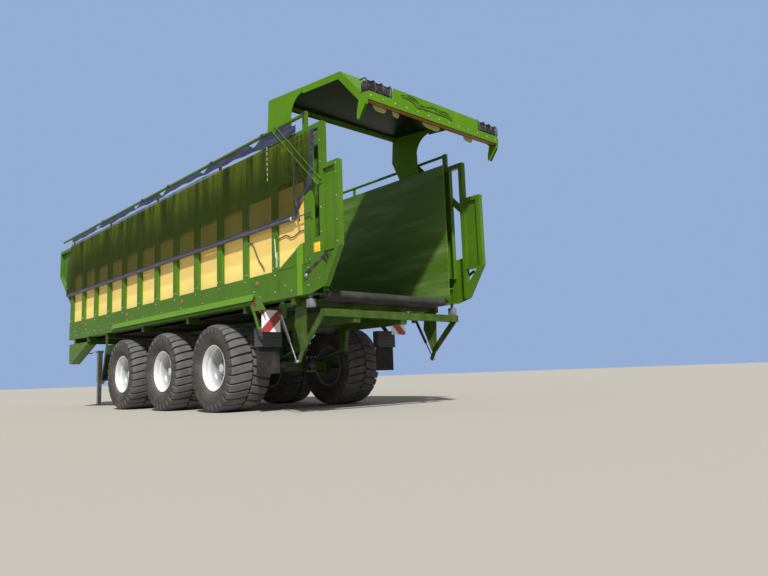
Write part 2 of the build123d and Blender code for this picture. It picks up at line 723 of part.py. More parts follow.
def make_wall_panels():
    """Inner lining along the load space and a board in each bay between two posts."""
    back = LINING_BACK_Y - SEAT_GAP
    lining = block((BODY_REAR_X, BODY_FRONT_X), (LINING_Y, back), (DECK_LOW_Z, RAIL_HIGH_Z))
    boards = []
    board_z = (SIDE_HIGH_Z + SEAT_GAP, FASCIA_LOW_Z + FASCIA_OVERLAP)
    half = POST_WIDTH / 2 + SEAT_GAP
    for index in range(WINDOWS):
        face_y = POST_FACE_Y - RECESS_SETBACK if index < RECESS_POSTS else BOARD_FACE_Y
        board_x = (POST_X[index] + half, POST_X[index + 1] - half)
        boards.append(block(board_x, (face_y - BOARD_THICKNESS, face_y), board_z))
    return [lining, *boards]


def make_cover_rail():
    """Rail above the wall on its uprights, the stub post and the diagonal brace at the rear."""
    y = POST_FACE_Y - COVER_RAIL_R
    rail = bar((COVER_RAIL_REAR_X, y, COVER_RAIL_Z), (COVER_RAIL_FRONT_X, y, COVER_RAIL_Z), COVER_RAIL_R)
    pieces = [rail]
    for x in POST_X[3::3]:
        pieces.append(block((x - 35, x + 35), (y - 6, y + 6), (RAIL_HIGH_Z, COVER_RAIL_Z)))
    stub_x = COVER_RAIL_REAR_X + 30
    top_z = COVER_RAIL_Z + COVER_RAIL_R
    pieces.append(block((stub_x - 35, stub_x + 35), (y - COVER_RAIL_R, POST_FACE_Y), (RAIL_HIGH_Z, top_z)))
    brace_y = (POST_FACE_Y + 9, POST_FACE_Y + 29)
    brace_top = (BRACE_FRONT_X, COVER_RAIL_Z)
    brace_foot = (REAR_POST_X - 300, COVER_RAIL_Z - (BRACE_FRONT_X - REAR_POST_X + 300))
    brace = strut(brace_top, brace_foot, BRACE_WIDTH, *brace_y)
    groove = strut(brace_top, brace_foot, BRACE_WIDTH - 24, brace_y[1] - 14, brace_y[1])
    lug_x = (BRACE_FRONT_X - 30, BRACE_FRONT_X + 30)
    lug = block(lug_x, (y, brace_y[0]), (COVER_RAIL_Z - 20, COVER_RAIL_Z + 20))
    foot_x, foot_z = brace_foot
    shoe_y = (POST_FACE_Y + SEAT_GAP, brace_y[0])
    shoe = block((foot_x - 30, foot_x + 30), shoe_y, (foot_z - 20, foot_z + 40))
    return Part() + [*pieces, brace - groove, lug, shoe]


def make_rear_frame():
    """Rear post, outer post, filler plate and gusset beside the tailgate's opening."""
    y_low, y_high = OUTER_Y, POST_FACE_Y
    mid = (y_low + y_high) / 2
    post_x, outer_x = REAR_POST_X - REAR_POST_BACK, REAR_POST_X - OUTER_POST_BACK
    post_low_x, post_high_x = post_x - REAR_POST_WIDTH / 2, post_x + REAR_POST_WIDTH / 2
    outer_low_x, outer_high_x = outer_x - OUTER_POST_WIDTH / 2, outer_x + OUTER_POST_WIDTH / 2
    top_z, low_z = OUTER_POST_HIGH_Z, OUTER_POST_LOW_Z
    post = block((post_low_x, post_high_x), (y_low, y_high), (low_z, RAIL_LOW_Z))
    outer = block((outer_low_x, outer_high_x), (y_low, y_high), (low_z, top_z))
    head = block((outer_high_x, post_low_x), (y_low, y_high), (top_z - 60, top_z))
    filler = block((outer_high_x, post_low_x), (mid - 3, mid + 3), (low_z, top_z - 60))
    toe_z = SIDE_LOW_Z + 60
    heel_line = [(outer_low_x, low_z), (post_high_x, low_z), (post_high_x, toe_z), (post_low_x, toe_z)]
    cut_x = post_high_x - 60
    cut_line = [(outer_high_x + 30, low_z - 30), (cut_x, low_z - 30), (cut_x, toe_z + 190)]
    heel = slab(heel_line, y_low, y_high) - slab(cut_line, y_low, y_high)
    gusset = slab(
        [
            (post_low_x + 20, low_z + 180),
            (post_low_x + 20, toe_z),
            (BODY_REAR_X, SIDE_LOW_Z),
            (BODY_REAR_X, SIDE_HIGH_Z),
            (REAR_POST_X + GUSSET_REACH, SIDE_HIGH_Z),
            (REAR_POST_X + 140, low_z + 140),
        ],
        y_high,
        y_high + GUSSET_THICKNESS,
    )
    fold_x = REAR_POST_X + 140
    fold_line = [
        (fold_x, SIDE_LOW_Z),
        (fold_x, low_z + 140),
        (fold_x + FOLD_WIDTH, low_z + 140 - FOLD_WIDTH / 2),
        (fold_x + FOLD_WIDTH, SIDE_LOW_Z),
    ]
    fold = slab(fold_line, y_high + SEAT_GAP, y_high + FOLD_THICKNESS)
    return Part() + [post, outer, head, filler, heel, gusset, fold]


def make_pivot_brackets():
    """Tailgate pivot beside the second post, and the foot pin of the tailgate's ram."""
    post_face = POST_X[1] - POST_WIDTH / 2 - SEAT_GAP
    bracket_z = (PIVOT_Z - 100, PIVOT_Z + 100)
    bracket = block((PIVOT_X - PIVOT_HUB_R, post_face), (OUTER_Y, POST_FACE_Y), bracket_z)
    pin = cross_bar(PIVOT_X, PIVOT_Z, PIVOT_R, GATE_HALF_WIDTH - 20, OUTER_Y)
    foot_face = POST_X[0] + POST_WIDTH / 2 + SEAT_GAP
    foot_z = (RAM_FOOT_Z - 70, RAM_FOOT_Z + 70)
    foot = block((foot_face, RAM_FOOT_X + 50), (OUTER_Y, OUTER_Y + 20), foot_z)
    foot_pin = cross_bar(RAM_FOOT_X, RAM_FOOT_Z, RAM_PIN_R, RAM_Y - RAM_BARREL_R - 2, OUTER_Y)
    return [bracket + pin, foot + foot_pin]


def make_body():
    parts["side_frame_left"], parts["side_frame_right"] = both(make_side_frame())
    parts["rear_frames"] = Part() + both(make_rear_frame())
    parts["cover_rails"] = Part() + both(make_cover_rail())
    for name, pieces in (("wall_panels", make_wall_panels()), ("pivot_brackets", make_pivot_brackets())):
        parts[name] = Part() + [piece for shape in pieces for piece in both(shape)]


def stadium(radius, x_low, x_high, z, half_width):
    """Long solid with round ends, as a belt encloses between two rollers."""
    middle = block((x_low, x_high), (-half_width, half_width), (z - radius, z + radius))
    ends = [cross_bar(x, z, radius, -half_width, half_width, sides=0) for x in (x_low, x_high)]
    return Part() + [middle, *ends]


def make_floor():
    """Deck on its cross bars, the belt around it and the two rollers."""
    top = BELT_TOP_Z - BELT_THICKNESS - RUNNING_GAP
    ends = (ROLLER_REAR_X + ROLLER_R + 15, ROLLER_FRONT_X - ROLLER_R - 15)
    deck = block(ends, (-BELT_HALF_WIDTH, BELT_HALF_WIDTH), (DECK_LOW_Z, top))
    bar_y = (-LINING_Y, LINING_Y)
    bars = [block((x - 30, x + 30), bar_y, (SIDE_LOW_Z, DECK_LOW_Z)) for x in OUTRIGGER_X]
    edge_y = (BELT_HALF_WIDTH + 5, LINING_Y - SEAT_GAP)
    edge = block((BODY_REAR_X, BODY_FRONT_X - 20), edge_y, (DECK_LOW_Z, BELT_TOP_Z - 4))
    rests = []
    for x in (ROLLER_REAR_X, ROLLER_FRONT_X):
        rest = block((x - 45, x + 45), (edge_y[0] + 10, edge_y[1]), (ROLLER_Z - 45, DECK_LOW_Z))
        rests += both(rest - cross_bore(x, ROLLER_Z, ROLLER_SHAFT_R + RUNNING_GAP, *edge_y))
    parts["floor_deck"] = Part() + [deck, *bars, *both(edge), *rests]

    outer = stadium(ROLLER_R + BELT_THICKNESS, ROLLER_REAR_X, ROLLER_FRONT_X, ROLLER_Z, BELT_HALF_WIDTH)
    inner = stadium(ROLLER_R + RUNNING_GAP, ROLLER_REAR_X, ROLLER_FRONT_X, ROLLER_Z, BELT_HALF_WIDTH)
    parts["floor_belt"] = outer - inner

    rollers = []
    for x in (ROLLER_REAR_X, ROLLER_FRONT_X):
        drum = cross_bar(x, ROLLER_Z, ROLLER_R, -BELT_HALF_WIDTH, BELT_HALF_WIDTH)
        shaft = cross_bar(x, ROLLER_Z, ROLLER_SHAFT_R, -LINING_Y, LINING_Y)
        rollers.append(drum + shaft)
    parts["belt_rollers"] = Part() + rollers


def make_front_bars():
    """Cross bars between the two walls at the front: above, at the knee and at the floor."""
    x_high = FRONT_TOP_X
    x_low = FRONT_TOP_X - FRONT_POST
    reach = OUTER_Y - SEAT_GAP
    upper = block((x_low, x_high), (-reach, reach), (RAIL_LOW_Z, RAIL_HIGH_Z))
    knee = block((x_low, x_high), (-reach, reach), (FRONT_KNEE_Z, FRONT_KNEE_Z + FRONT_POST))
    sill_reach = LINING_BACK_Y - SEAT_GAP
    sill_x = (BODY_FRONT_X + SEAT_GAP, FRONT_LOW_X)
    sill = block(sill_x, (-sill_reach, sill_reach), (SIDE_LOW_Z, BELT_TOP_Z + 60))
    parts["front_bars"] = Part() + [upper, knee, sill]


def make_cover():
    """Mesh sheet hung from the left cover rail, and the tube along its lower edge."""
    y_low = POST_FACE_Y + COVER_GAP
    sheet = slab(
        [
            (COVER_RAIL_REAR_X + 30, COVER_TOP_Z),
            (TUBE_REAR_X, TUBE_Z + 17),
            (TUBE_FRONT_X + 150, TUBE_Z + 17),
            (BODY_FRONT_X + COVER_CORNER_REACH, COVER_TOP_Z - COVER_CORNER_DROP),
            (BODY_FRONT_X - 60, COVER_TOP_Z),
        ],
        y_low,
        y_low + COVER_THICKNESS,
    )
    parts["side_cover"] = sheet
    tube_y = y_low + TUBE_R
    tube_ends = (TUBE_REAR_X, tube_y, TUBE_Z), (TUBE_FRONT_X, tube_y, TUBE_Z)
    shaft_ends = (TUBE_SHAFT_REAR_X, tube_y, TUBE_Z), (TUBE_REAR_X + 20, tube_y, TUBE_Z)
    parts["cover_tube"] = bar(*tube_ends, TUBE_R, sides=0) + bar(*shaft_ends, TUBE_SHAFT_R)


def offset_line(points, width):
    """The (x, z) line that runs beside an open one, on its right-hand side."""
    offset = []
    for i, (x, z) in enumerate(points):
        normals = []
        for first, second in zip(points[max(i - 1, 0) : i + 1], points[max(i, 1) : i + 2]):
            dx, dz = second[0] - first[0], second[1] - first[1]
            length = hypot(dx, dz)
            normals.append((dz / length, -dx / length))
        nx = sum(n[0] for n in normals) / len(normals)
        nz = sum(n[1] for n in normals) / len(normals)
        scale = width / (nx * nx + nz * nz)
        offset.append((x + nx * scale, z + nz * scale))
    return offset


def band(points, width):
    """Closed outline of a plate of one thickness beside an open (x, z) line."""
    return points + offset_line(points, width)[::-1]


# Push wall, parked at the front
def make_push_wall():
    half = LINING_Y - WALL_CLEARANCE
    low = BELT_TOP_Z + WALL_CLEARANCE
    face = [
        (WALL_LOW_X, low),
        (WALL_LOW_X, WALL_KNEE_Z),
        (WALL_LOW_X + WALL_LEAN, WALL_HIP_Z),
        (WALL_LOW_X + WALL_LEAN, RAIL_HIGH_Z - 10),
    ]
    skin = slab(band(face, WALL_SKIN), -half, half)
    window_z = (WALL_HIP_Z + 70, RAIL_HIGH_Z - 90)
    windows = []
    for y in WALL_RIB_Y[:-1]:
        gap = WALL_RIB_PITCH - WALL_RIB_WIDTH
        y_low = y + WALL_RIB_WIDTH / 2
        windows.append(block((face[-1][0] - 5, face[-1][0] + 15), (y_low, y_low + gap), window_z))
    parts["push_wall_skin"] = Part() + skin - windows

    seat_line = offset_line(face, WALL_SKIN + SEAT_GAP)
    rib_half = WALL_RIB_WIDTH / 2
    ribs = [slab(band(seat_line, WALL_RIB), y - rib_half, y + rib_half) for y in WALL_RIB_Y]
    x = seat_line[0][0]
    lean_x = seat_line[-1][0]
    cross_ribs = ((x, low), (x, WALL_KNEE_Z - 90), (lean_x, WALL_HIP_Z + 10), (lean_x, RAIL_HIGH_Z - 70))
    for x_low, z_low in cross_ribs:
        ribs.append(block((x_low, x_low + WALL_RIB), (-half, half), (z_low, z_low + WALL_RIB_WIDTH)))
    shoes = [
        block((x, x + WALL_RIB), (y - WALL_SHOE / 2, y + WALL_SHOE / 2), (BELT_TOP_Z + RUNNING_GAP, low))
        for y in (-WALL_RIB_Y[-1] * 0.6, WALL_RIB_Y[-1] * 0.6)
    ]
    parts["push_wall_frame"] = Part() + ribs + shoes


# Tailgate, drawn raised
def make_gate_side():
    """Left side plate with its arch, the narrow flange behind it and the arm down to the pivot."""
    y_low, y_high = GATE_HALF_WIDTH, GATE_HALF_WIDTH + GATE_SIDE
    slope = (GATE_KINK[1] - GATE_FRONT[1]) / (GATE_KINK[0] - GATE_FRONT[0])
    over_arch = (ARCH_X, GATE_FRONT[1] + slope * (ARCH_X - GATE_FRONT[0]))
    cheek_line = [GATE_FRONT, over_arch, (ARCH_X, ARCH_Z), (ARCH_X + ARCH_R, ARCH_Z), GATE_EDGE]
    cheek = slab(cheek_line, y_low, y_high)
    arch = cross_bar(ARCH_X, ARCH_Z, ARCH_R, y_low, y_high, sides=0)
    flange = slab(band([GATE_REAR, GATE_KINK, over_arch], GATE_FLANGE), y_low, y_high)
    arm = slab(
        [
            (GATE_EDGE[0] - 10, GATE_EDGE[1]),
            (ARCH_X + ARCH_R - 10, ARCH_Z + 30),
            (PIVOT_X - PIVOT_HUB_R, PIVOT_Z),
            (PIVOT_X + PIVOT_HUB_R, PIVOT_Z),
        ],
        y_low,
        y_high,
    )
    top_x, top_z = RAM_TOP
    lug_line = [
        (PIVOT_X - 60, PIVOT_Z - 30),
        (top_x - 34, top_z - 20),
        (top_x - 20, top_z + 34),
        (PIVOT_X - 20, top_z + 120),
    ]
    lug = slab(lug_line, y_low, y_high)
    hub = cross_bar(PIVOT_X, PIVOT_Z, PIVOT_HUB_R, y_low, OUTER_Y - 7)
    bore = cross_bore(PIVOT_X, PIVOT_Z, PIVOT_R + RUNNING_GAP, y_low, OUTER_Y)
    pin = cross_bar(top_x, top_z, RAM_PIN_R, y_low, RAM_Y - RAM_BARREL_R - 0.5)
    return Part() + [cheek - arch, flange, arm, lug, hub, pin] - bore


def make_tailgate():
    skin_line = [GATE_REAR, GATE_KINK, GATE_FRONT]
    skin = slab(band(skin_line, GATE_SKIN), -GATE_HALF_WIDTH, GATE_HALF_WIDTH)
    beam_front_x = BEAM_REAR_X + BEAM_DEPTH
    behind_z = (BEAM_Z - 300, GATE_KINK[1] + 200)
    behind = block((BEAM_REAR_X - 200, beam_front_x + SEAT_GAP), (-2 * OUTER_Y, 2 * OUTER_Y), behind_z)
    front_x, front_z = GATE_FRONT
    edge_z = front_z - GATE_SKIN - 2
    edge_rib = block((front_x - 60, front_x), (-GATE_HALF_WIDTH, GATE_HALF_WIDTH), (edge_z - 60, edge_z))
    shell = Part() + [skin, *both(make_gate_side()), edge_rib]
    parts["tailgate_shell"] = shell - behind

    beam_half = GATE_HALF_WIDTH + GATE_SIDE
    beam_top = BEAM_Z + BEAM_HEIGHT
    beam = block((BEAM_REAR_X, beam_front_x), (-beam_half, beam_half), (BEAM_Z, beam_top))
    back_y = (-BACK_PLATE_HALF, BACK_PLATE_HALF)
    back = block((BEAM_REAR_X, BEAM_REAR_X + 6), back_y, (beam_top, BACK_PLATE_TOP_Z))
    hook = slab(
        [
            (BEAM_REAR_X, beam_top - 20),
            (beam_front_x, beam_top - 20),
            (beam_front_x + 40, BEAM_Z),
            (HOOK_X - LOCK_PIN_R - 14, HOOK_Z + 40),
            (HOOK_X - LOCK_PIN_R - 12, HOOK_Z - 40),
            (HOOK_X - LOCK_PIN_R - 50, HOOK_Z - 60),
            (BEAM_REAR_X + 20, BEAM_Z - 60),
        ],
        beam_half,
        HOOK_Y + HOOK_THICKNESS / 2,
    )
    parts["tailgate_beam"] = Part() + [beam, back, *both(hook)]

    lamp_y = (beam_half - LAMP_LENGTH, beam_half)
    lamp = slab(
        [
            (BEAM_REAR_X, beam_top),
            (BEAM_REAR_X, beam_top + LAMP_HEIGHT),
            (beam_front_x - 20, beam_top + LAMP_HEIGHT + 20),
            (beam_front_x + 30, beam_top + LAMP_HEIGHT * 0.7),
            (beam_front_x, beam_top),
        ],
        *lamp_y,
    )
    parts["tail_lamps"] = Part() + both(lamp - parts["tailgate_shell"])


def make_ram(foot, top, y, barrel, rod, pin_r):
    """Barrel and rod of a ram between two (x, z) points. barrel and rod are (radius, length)."""
    barrel_r, barrel_length, bore_r = barrel
    rod_r, rod_length = rod
    length = hypot(top[0] - foot[0], top[1] - foot[1])
    ux, uz = (top[0] - foot[0]) / length, (top[1] - foot[1]) / length

    def at(distance):
        return (foot[0] + ux * distance, y, foot[1] + uz * distance)

    eye_r = barrel_r - 1
    tube = bar(at(0), at(barrel_length), barrel_r)
    eye = cross_bar(*foot, eye_r, y - barrel_r, y + barrel_r)
    bore = bar(at(eye_r + 12), at(barrel_length), bore_r, bore=True)
    pin_hole = cross_bore(*foot, pin_r + RUNNING_GAP, y - 2 * barrel_r, y + 2 * barrel_r)
    body = Part() + [tube, eye] - bore - pin_hole

    tail = length - rod_length
    stem = bar(at(tail), at(length), rod_r)
    piston = bar(at(tail), at(tail + 30), bore_r - RUNNING_GAP)
    rod_eye = cross_bar(*top, eye_r, y - barrel_r, y + barrel_r)
    rod_hole = cross_bore(*top, pin_r + RUNNING_GAP, y - barrel_r, y + barrel_r)
    return body, Part() + [stem, piston, rod_eye] - rod_hole


def make_gate_rams():
    barrel = (RAM_BARREL_R, RAM_BARREL_LENGTH, RAM_BORE_R)
    body, rod = make_ram(RAM_FOOT, RAM_TOP, RAM_Y, barrel, (RAM_ROD_R, RAM_ROD_LENGTH), RAM_PIN_R)
    parts["gate_ram_barrels"] = Part() + both(body)
    parts["gate_ram_rods"] = Part() + both(rod)


# Underrun guard, drawn folded up
def make_guard():
    y_low = GUARD_ARM_Y - GUARD_ARM_THICKNESS / 2
    y_high = GUARD_ARM_Y + GUARD_ARM_THICKNESS / 2
    pivot = (GUARD_PIVOT_X, GUARD_PIVOT_Z)
    reach = (GUARD_PIVOT_X + GUARD_REACH_X, GUARD_PIVOT_Z + GUARD_REACH_Z)
    long_arm = strut(pivot, reach, GUARD_ARM_WIDTH, y_low, y_high)
    short_arm = strut(pivot, GUARD_EYE, GUARD_ARM_WIDTH * 0.7, y_low, y_high)
    hub = cross_bar(*pivot, GUARD_ARM_WIDTH / 2, y_low, y_high)
    hole = cross_bore(*pivot, GUARD_PIN_R + RUNNING_GAP, y_low, y_high)
    tail_pin = cross_bar(*GUARD_EYE, GUARD_PIN_R, y_low, GUARD_RAM_Y - GUARD_RAM_R - 0.5)
    arm = Part() + [long_arm, short_arm, hub, tail_pin] - hole
    half = GUARD_BAR / 2
    bar_y = GUARD_ARM_Y + GUARD_ARM_THICKNESS / 2
    crossbar = block((reach[0] - half, reach[0] + half), (-bar_y, bar_y), (reach[1] - half, reach[1] + half))
    parts["underrun_guard"] = Part() + [*both(arm), crossbar]

    barrel = (GUARD_RAM_R, GUARD_BARREL_LENGTH, GUARD_RAM_BORE_R)
    stem = (GUARD_ROD_R, GUARD_ROD_LENGTH)
    body, rod = make_ram(GUARD_RAM_TOP, GUARD_EYE, GUARD_RAM_Y, barrel, stem, GUARD_PIN_R)
    parts["guard_ram_barrels"] = Part() + both(body)
    parts["guard_ram_rods"] = Part() + both(rod)


# Boards, flaps and lockers
def make_markers():
    """Square marker boards that face the rear, each on an arm from the side channel."""
    half = MARKER_SIZE / 2
    board_x = (MARKER_X - MARKER_THICKNESS, MARKER_X)
    board = block(board_x, (MARKER_Y - half, MARKER_Y + half), (MARKER_Z - half, MARKER_Z + half))
    under_lip = SKIRT_Z - SKIRT_THICKNESS - 4
    low_z, high_z = MARKER_Z + half - 10, SKIRT_Z + SKIRT_RISE - 10
    hanger_y = (POST_FACE_Y + SEAT_GAP, POST_FACE_Y + 10)
    hanger_line = [
        (SKIRT_REAR_X + 160, under_lip),
        (SKIRT_REAR_X - 5, under_lip),
        (SKIRT_REAR_X - 5, high_z),
        (SKIRT_REAR_X - 80, high_z),
        (MARKER_X - 130, low_z),
        (SKIRT_REAR_X + 60, low_z),
    ]
    hanger = slab(hanger_line, *hanger_y)
    foot = (MARKER_X + 50, MARKER_Z - half + 40)
    leg = strut((SKIRT_REAR_X + 40, low_z + 20), foot, 45, *hanger_y)
    arms = [
        block((MARKER_X, x_high), (POST_FACE_Y - 30, POST_FACE_Y + 5), (z - 20, z + 20))
        for x_high, z in ((foot[0] + 20, foot[1] + 10), (MARKER_X + 40, low_z - 5))
    ]
    parts["marker_boards"] = Part() + both(Part() + [board, hanger, leg, *arms])


def make_flaps():
    """Short mud flap behind each rear wheel below a box that hangs from the chassis."""
    outer = POST_FACE_Y - FLAP_INSET
    inner = outer - FLAP_WIDTH
    flap = block((FLAP_X - 6, FLAP_X + 6), (inner, outer), (FLAP_LOW_Z, FLAP_HIGH_Z))
    rail_z = FLAP_HIGH_Z + FLAP_BOX_HEIGHT
    half = FLAP_BOX_DEPTH / 2
    rail = block((FLAP_X - half, FLAP_X + half), (inner, outer), (FLAP_HIGH_Z, rail_z))
    hang_y = WHEEL_Y + 60
    foot_x = OUTRIGGER_X[1]
    foot_z = BEAM_HIGH_Z - SEAT_GAP
    hanger_foot = [(foot_x + 30, foot_z), (foot_x - 40, foot_z)]
    hanger_line = [(FLAP_X - 25, rail_z), (FLAP_X + 25, rail_z), *hanger_foot]
    hanger = slab(hanger_line, hang_y, hang_y + 60)
    parts["mud_flaps"] = Part() + both(Part() + [flap, rail, hanger])


def make_lockers():
    """Tapered locker under each front corner."""
    locker = slab(
        [
            (LOCKER_REAR_X, BEAM_HIGH_Z),
            (LOCKER_REAR_X, BEAM_HIGH_Z - 60),
            (FRONT_LOW_X - 90, LOCKER_Z),
            (FRONT_LOW_X, LOCKER_Z + 60),
            (FRONT_LOW_X, BEAM_HIGH_Z),
        ],
        POST_FACE_Y - 10 - LOCKER_WIDTH,
        POST_FACE_Y - 10,
    )
    parts["front_lockers"] = Part() + both(locker)


def make_hose(name, flank_x, points):
    """Hose of straight runs and the largest tangent arcs that its runs allow.

    Each point is its share of the bay to the rear, its bulge towards the wall's face and its
    height over the side channel.
    """
    bay = POST_PITCH - POST_WIDTH - 2 * SEAT_GAP
    stops = [
        Vector(flank_x - share * bay, POST_FACE_Y - HOSE_INSET + bulge, SIDE_HIGH_Z + height)
        for share, bulge, height in points
    ]
    runs = [second - first for first, second in zip(stops, stops[1:])]
    radii = []
    for before, after in zip(runs, runs[1:]):
        turn = radians(before.get_angle(after))
        radii.append(0.45 * min(before.length, after.length) / tan(turn / 2))
    print(name, "radii", [round(radius) for radius in radii])
    route = FilletPolyline(*stops, radius=radii)
    end = Plane(origin=route @ 0, z_dir=route % 0) * Circle(HOSE_R)
    parts[name] = sweep(end, route)


def make_hoses():
    """One hose down to the side channel and one that hangs across the rearmost bay."""
    flank = POST_WIDTH / 2 + SEAT_GAP
    low_points = (
        (0, 0, 512),
        (0.135, 0, 512),
        (0.246, 1, 420),
        (0.357, 2, 290),
        (0.483, 2, 180),
        (0.649, 0, 90),
        (0.649, 0, SEAT_GAP),
    )
    make_hose("hose_low", POST_X[2] - flank, low_points)
    high_points = (
        (0, 0, 450),
        (0.123, 0, 450),
        (0.305, 2, 475),
        (0.463, 3, 410),
        (0.621, 3, 410),
        (0.763, 2, 455),
        (0.882, 0, 460),
        (1, 0, 460),
    )
    make_hose("hose_high", POST_X[1] - flank, high_points)


parts = {}
make_wheels()
make_axles()
make_steering()
make_suspension()
make_chassis()
make_rear_carrier()
make_drawbar()
make_tow_eye()
make_jack()
make_body()
make_floor()
make_front_bars()
make_cover()
make_push_wall()
make_tailgate()
make_gate_rams()
make_guard()
make_markers()
make_flaps()
make_lockers()
make_hoses()

# The kept origin lies on the ground, below the middle of the whole trailer
outline = [shape.bounding_box() for shape in parts.values()]
ORIGIN_X = (min(box.min.X for box in outline) + max(box.max.X for box in outline)) / 2

if __name__ == "__main__":
    os.makedirs("parts", exist_ok=True)
    for name, shape in parts.items():
        export_step(Pos(-ORIGIN_X, 0, 0) * shape, f"parts/{name}.step")
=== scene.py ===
import math

import bmesh
import bpy
from mathutils import Matrix, Vector


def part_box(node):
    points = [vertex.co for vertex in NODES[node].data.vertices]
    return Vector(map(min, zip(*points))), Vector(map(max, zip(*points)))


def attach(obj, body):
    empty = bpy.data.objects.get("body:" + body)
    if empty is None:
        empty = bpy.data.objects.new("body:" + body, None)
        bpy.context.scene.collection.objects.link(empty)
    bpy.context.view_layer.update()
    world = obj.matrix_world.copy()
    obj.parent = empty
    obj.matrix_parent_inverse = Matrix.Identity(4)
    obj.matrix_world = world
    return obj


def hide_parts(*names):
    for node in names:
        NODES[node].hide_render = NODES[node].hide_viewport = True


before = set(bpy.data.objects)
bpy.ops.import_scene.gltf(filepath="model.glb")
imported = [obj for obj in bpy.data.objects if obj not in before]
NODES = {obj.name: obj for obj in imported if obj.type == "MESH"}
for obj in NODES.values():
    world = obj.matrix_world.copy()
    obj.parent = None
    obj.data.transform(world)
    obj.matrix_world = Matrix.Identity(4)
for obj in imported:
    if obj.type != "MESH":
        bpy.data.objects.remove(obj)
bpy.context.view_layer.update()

bl_info = {
    "name": "Push-off trailer",
    "version": (1, 0, 0),
    "blender": (4, 5, 0),
    "location": "View3D > Sidebar > Trailer",
    "description": "Dresses the frame of a push-off trailer with its tyres, cover, lamps, fittings and finishes",
    "category": "Object",
}

# Places in the frame, in metres
WALL_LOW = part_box("side_frame_left")[0]
REAR_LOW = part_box("rear_frames")[0]
COVER_LOW, COVER_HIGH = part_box("side_cover")
TUBE_LOW, TUBE_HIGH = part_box("cover_tube")
BEAM_LOW, BEAM_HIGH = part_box("tailgate_beam")
BEAM_Z = 3.82
# FOLD_X is the span of the rear frames' bent strip, and LIP_Z and LIP_BACK_X bound the side channels' lower lip; both
# get a painted highlight
FOLD_X = (-4.996, -4.872)
LIP_Z = (1.50, 1.72)
LIP_BACK_X = -3.83
LAMP_LOW, LAMP_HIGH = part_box("tail_lamps")
MARKER_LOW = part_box("marker_boards")[0]
MARKER_FACE = ((1.10, MARKER_LOW.z), (1.41, MARKER_LOW.z + 0.31))
MARKER_BACK_X = -3.9605
JACK_LOW, JACK_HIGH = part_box("parking_jack")
AXLE_LOW, AXLE_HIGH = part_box("axles")
POST_FACE = 1.42
POST_WIDTH = 0.14
POST_PITCH = 0.773
FIRST_POST_X = WALL_LOW.x + 0.34
POSTS = [FIRST_POST_X + i * POST_PITCH for i in range(13)]
CHANNEL_TOP = 1.94
CHANNEL_LOW = 1.545
THREADS_PER_METRE = 160.0
AXLES = ("front", "middle", "rear")
SIDES = (("left", 1), ("right", -1))


def maths(operation, flip=False):
    """A method of Value that adds one maths node."""
    def method(self, *others):
        terms = (self, *others)
        inputs = dict(enumerate(terms[::-1] if flip else terms))
        return self.tree.value("ShaderNodeMath", {"operation": operation}, inputs)
    return method


class Value:
    """A shader socket that takes part in Python expressions."""

    def __init__(self, tree, socket):
        self.tree = tree
        self.socket = socket

    __add__ = __radd__ = maths("ADD")
    __sub__ = maths("SUBTRACT")
    __rsub__ = maths("SUBTRACT", flip=True)
    __mul__ = maths("MULTIPLY")
    __truediv__ = maths("DIVIDE")
    __mod__ = maths("FLOORED_MODULO")
    __gt__ = maths("GREATER_THAN")
    __lt__ = maths("LESS_THAN")
    __abs__ = maths("ABSOLUTE")

    def ramp(self, low, high):
        """Smooth step from 0 at low to 1 at high."""
        settings = {"interpolation_type": "SMOOTHSTEP"}
        return self.tree.value("ShaderNodeMapRange", settings, {0: self, 1: low, 2: high})


class Tree:
    """The shader nodes of a material or world, which are made afresh."""

    def __init__(self, owner):
        owner.use_nodes = True
        self.tree = owner.node_tree
        self.tree.nodes.clear()

    def node(self, kind, settings=None, inputs=None):
        made = self.tree.nodes.new(kind)
        for key, value in (settings or {}).items():
            setattr(made, key, value)
        for key, value in (inputs or {}).items():
            self.feed(made.inputs[key], value)
        return made

    def value(self, kind, settings=None, inputs=None, output=0):
        """What a new node gives."""
        return Value(self, self.node(kind, settings, inputs).outputs[output])

    def feed(self, socket, value):
        if isinstance(value, Value):
            self.tree.links.new(value.socket, socket)
        elif isinstance(value, tuple) and socket.type == "RGBA":
            socket.default_value = (*value, 1.0)
        else:
            socket.default_value = value


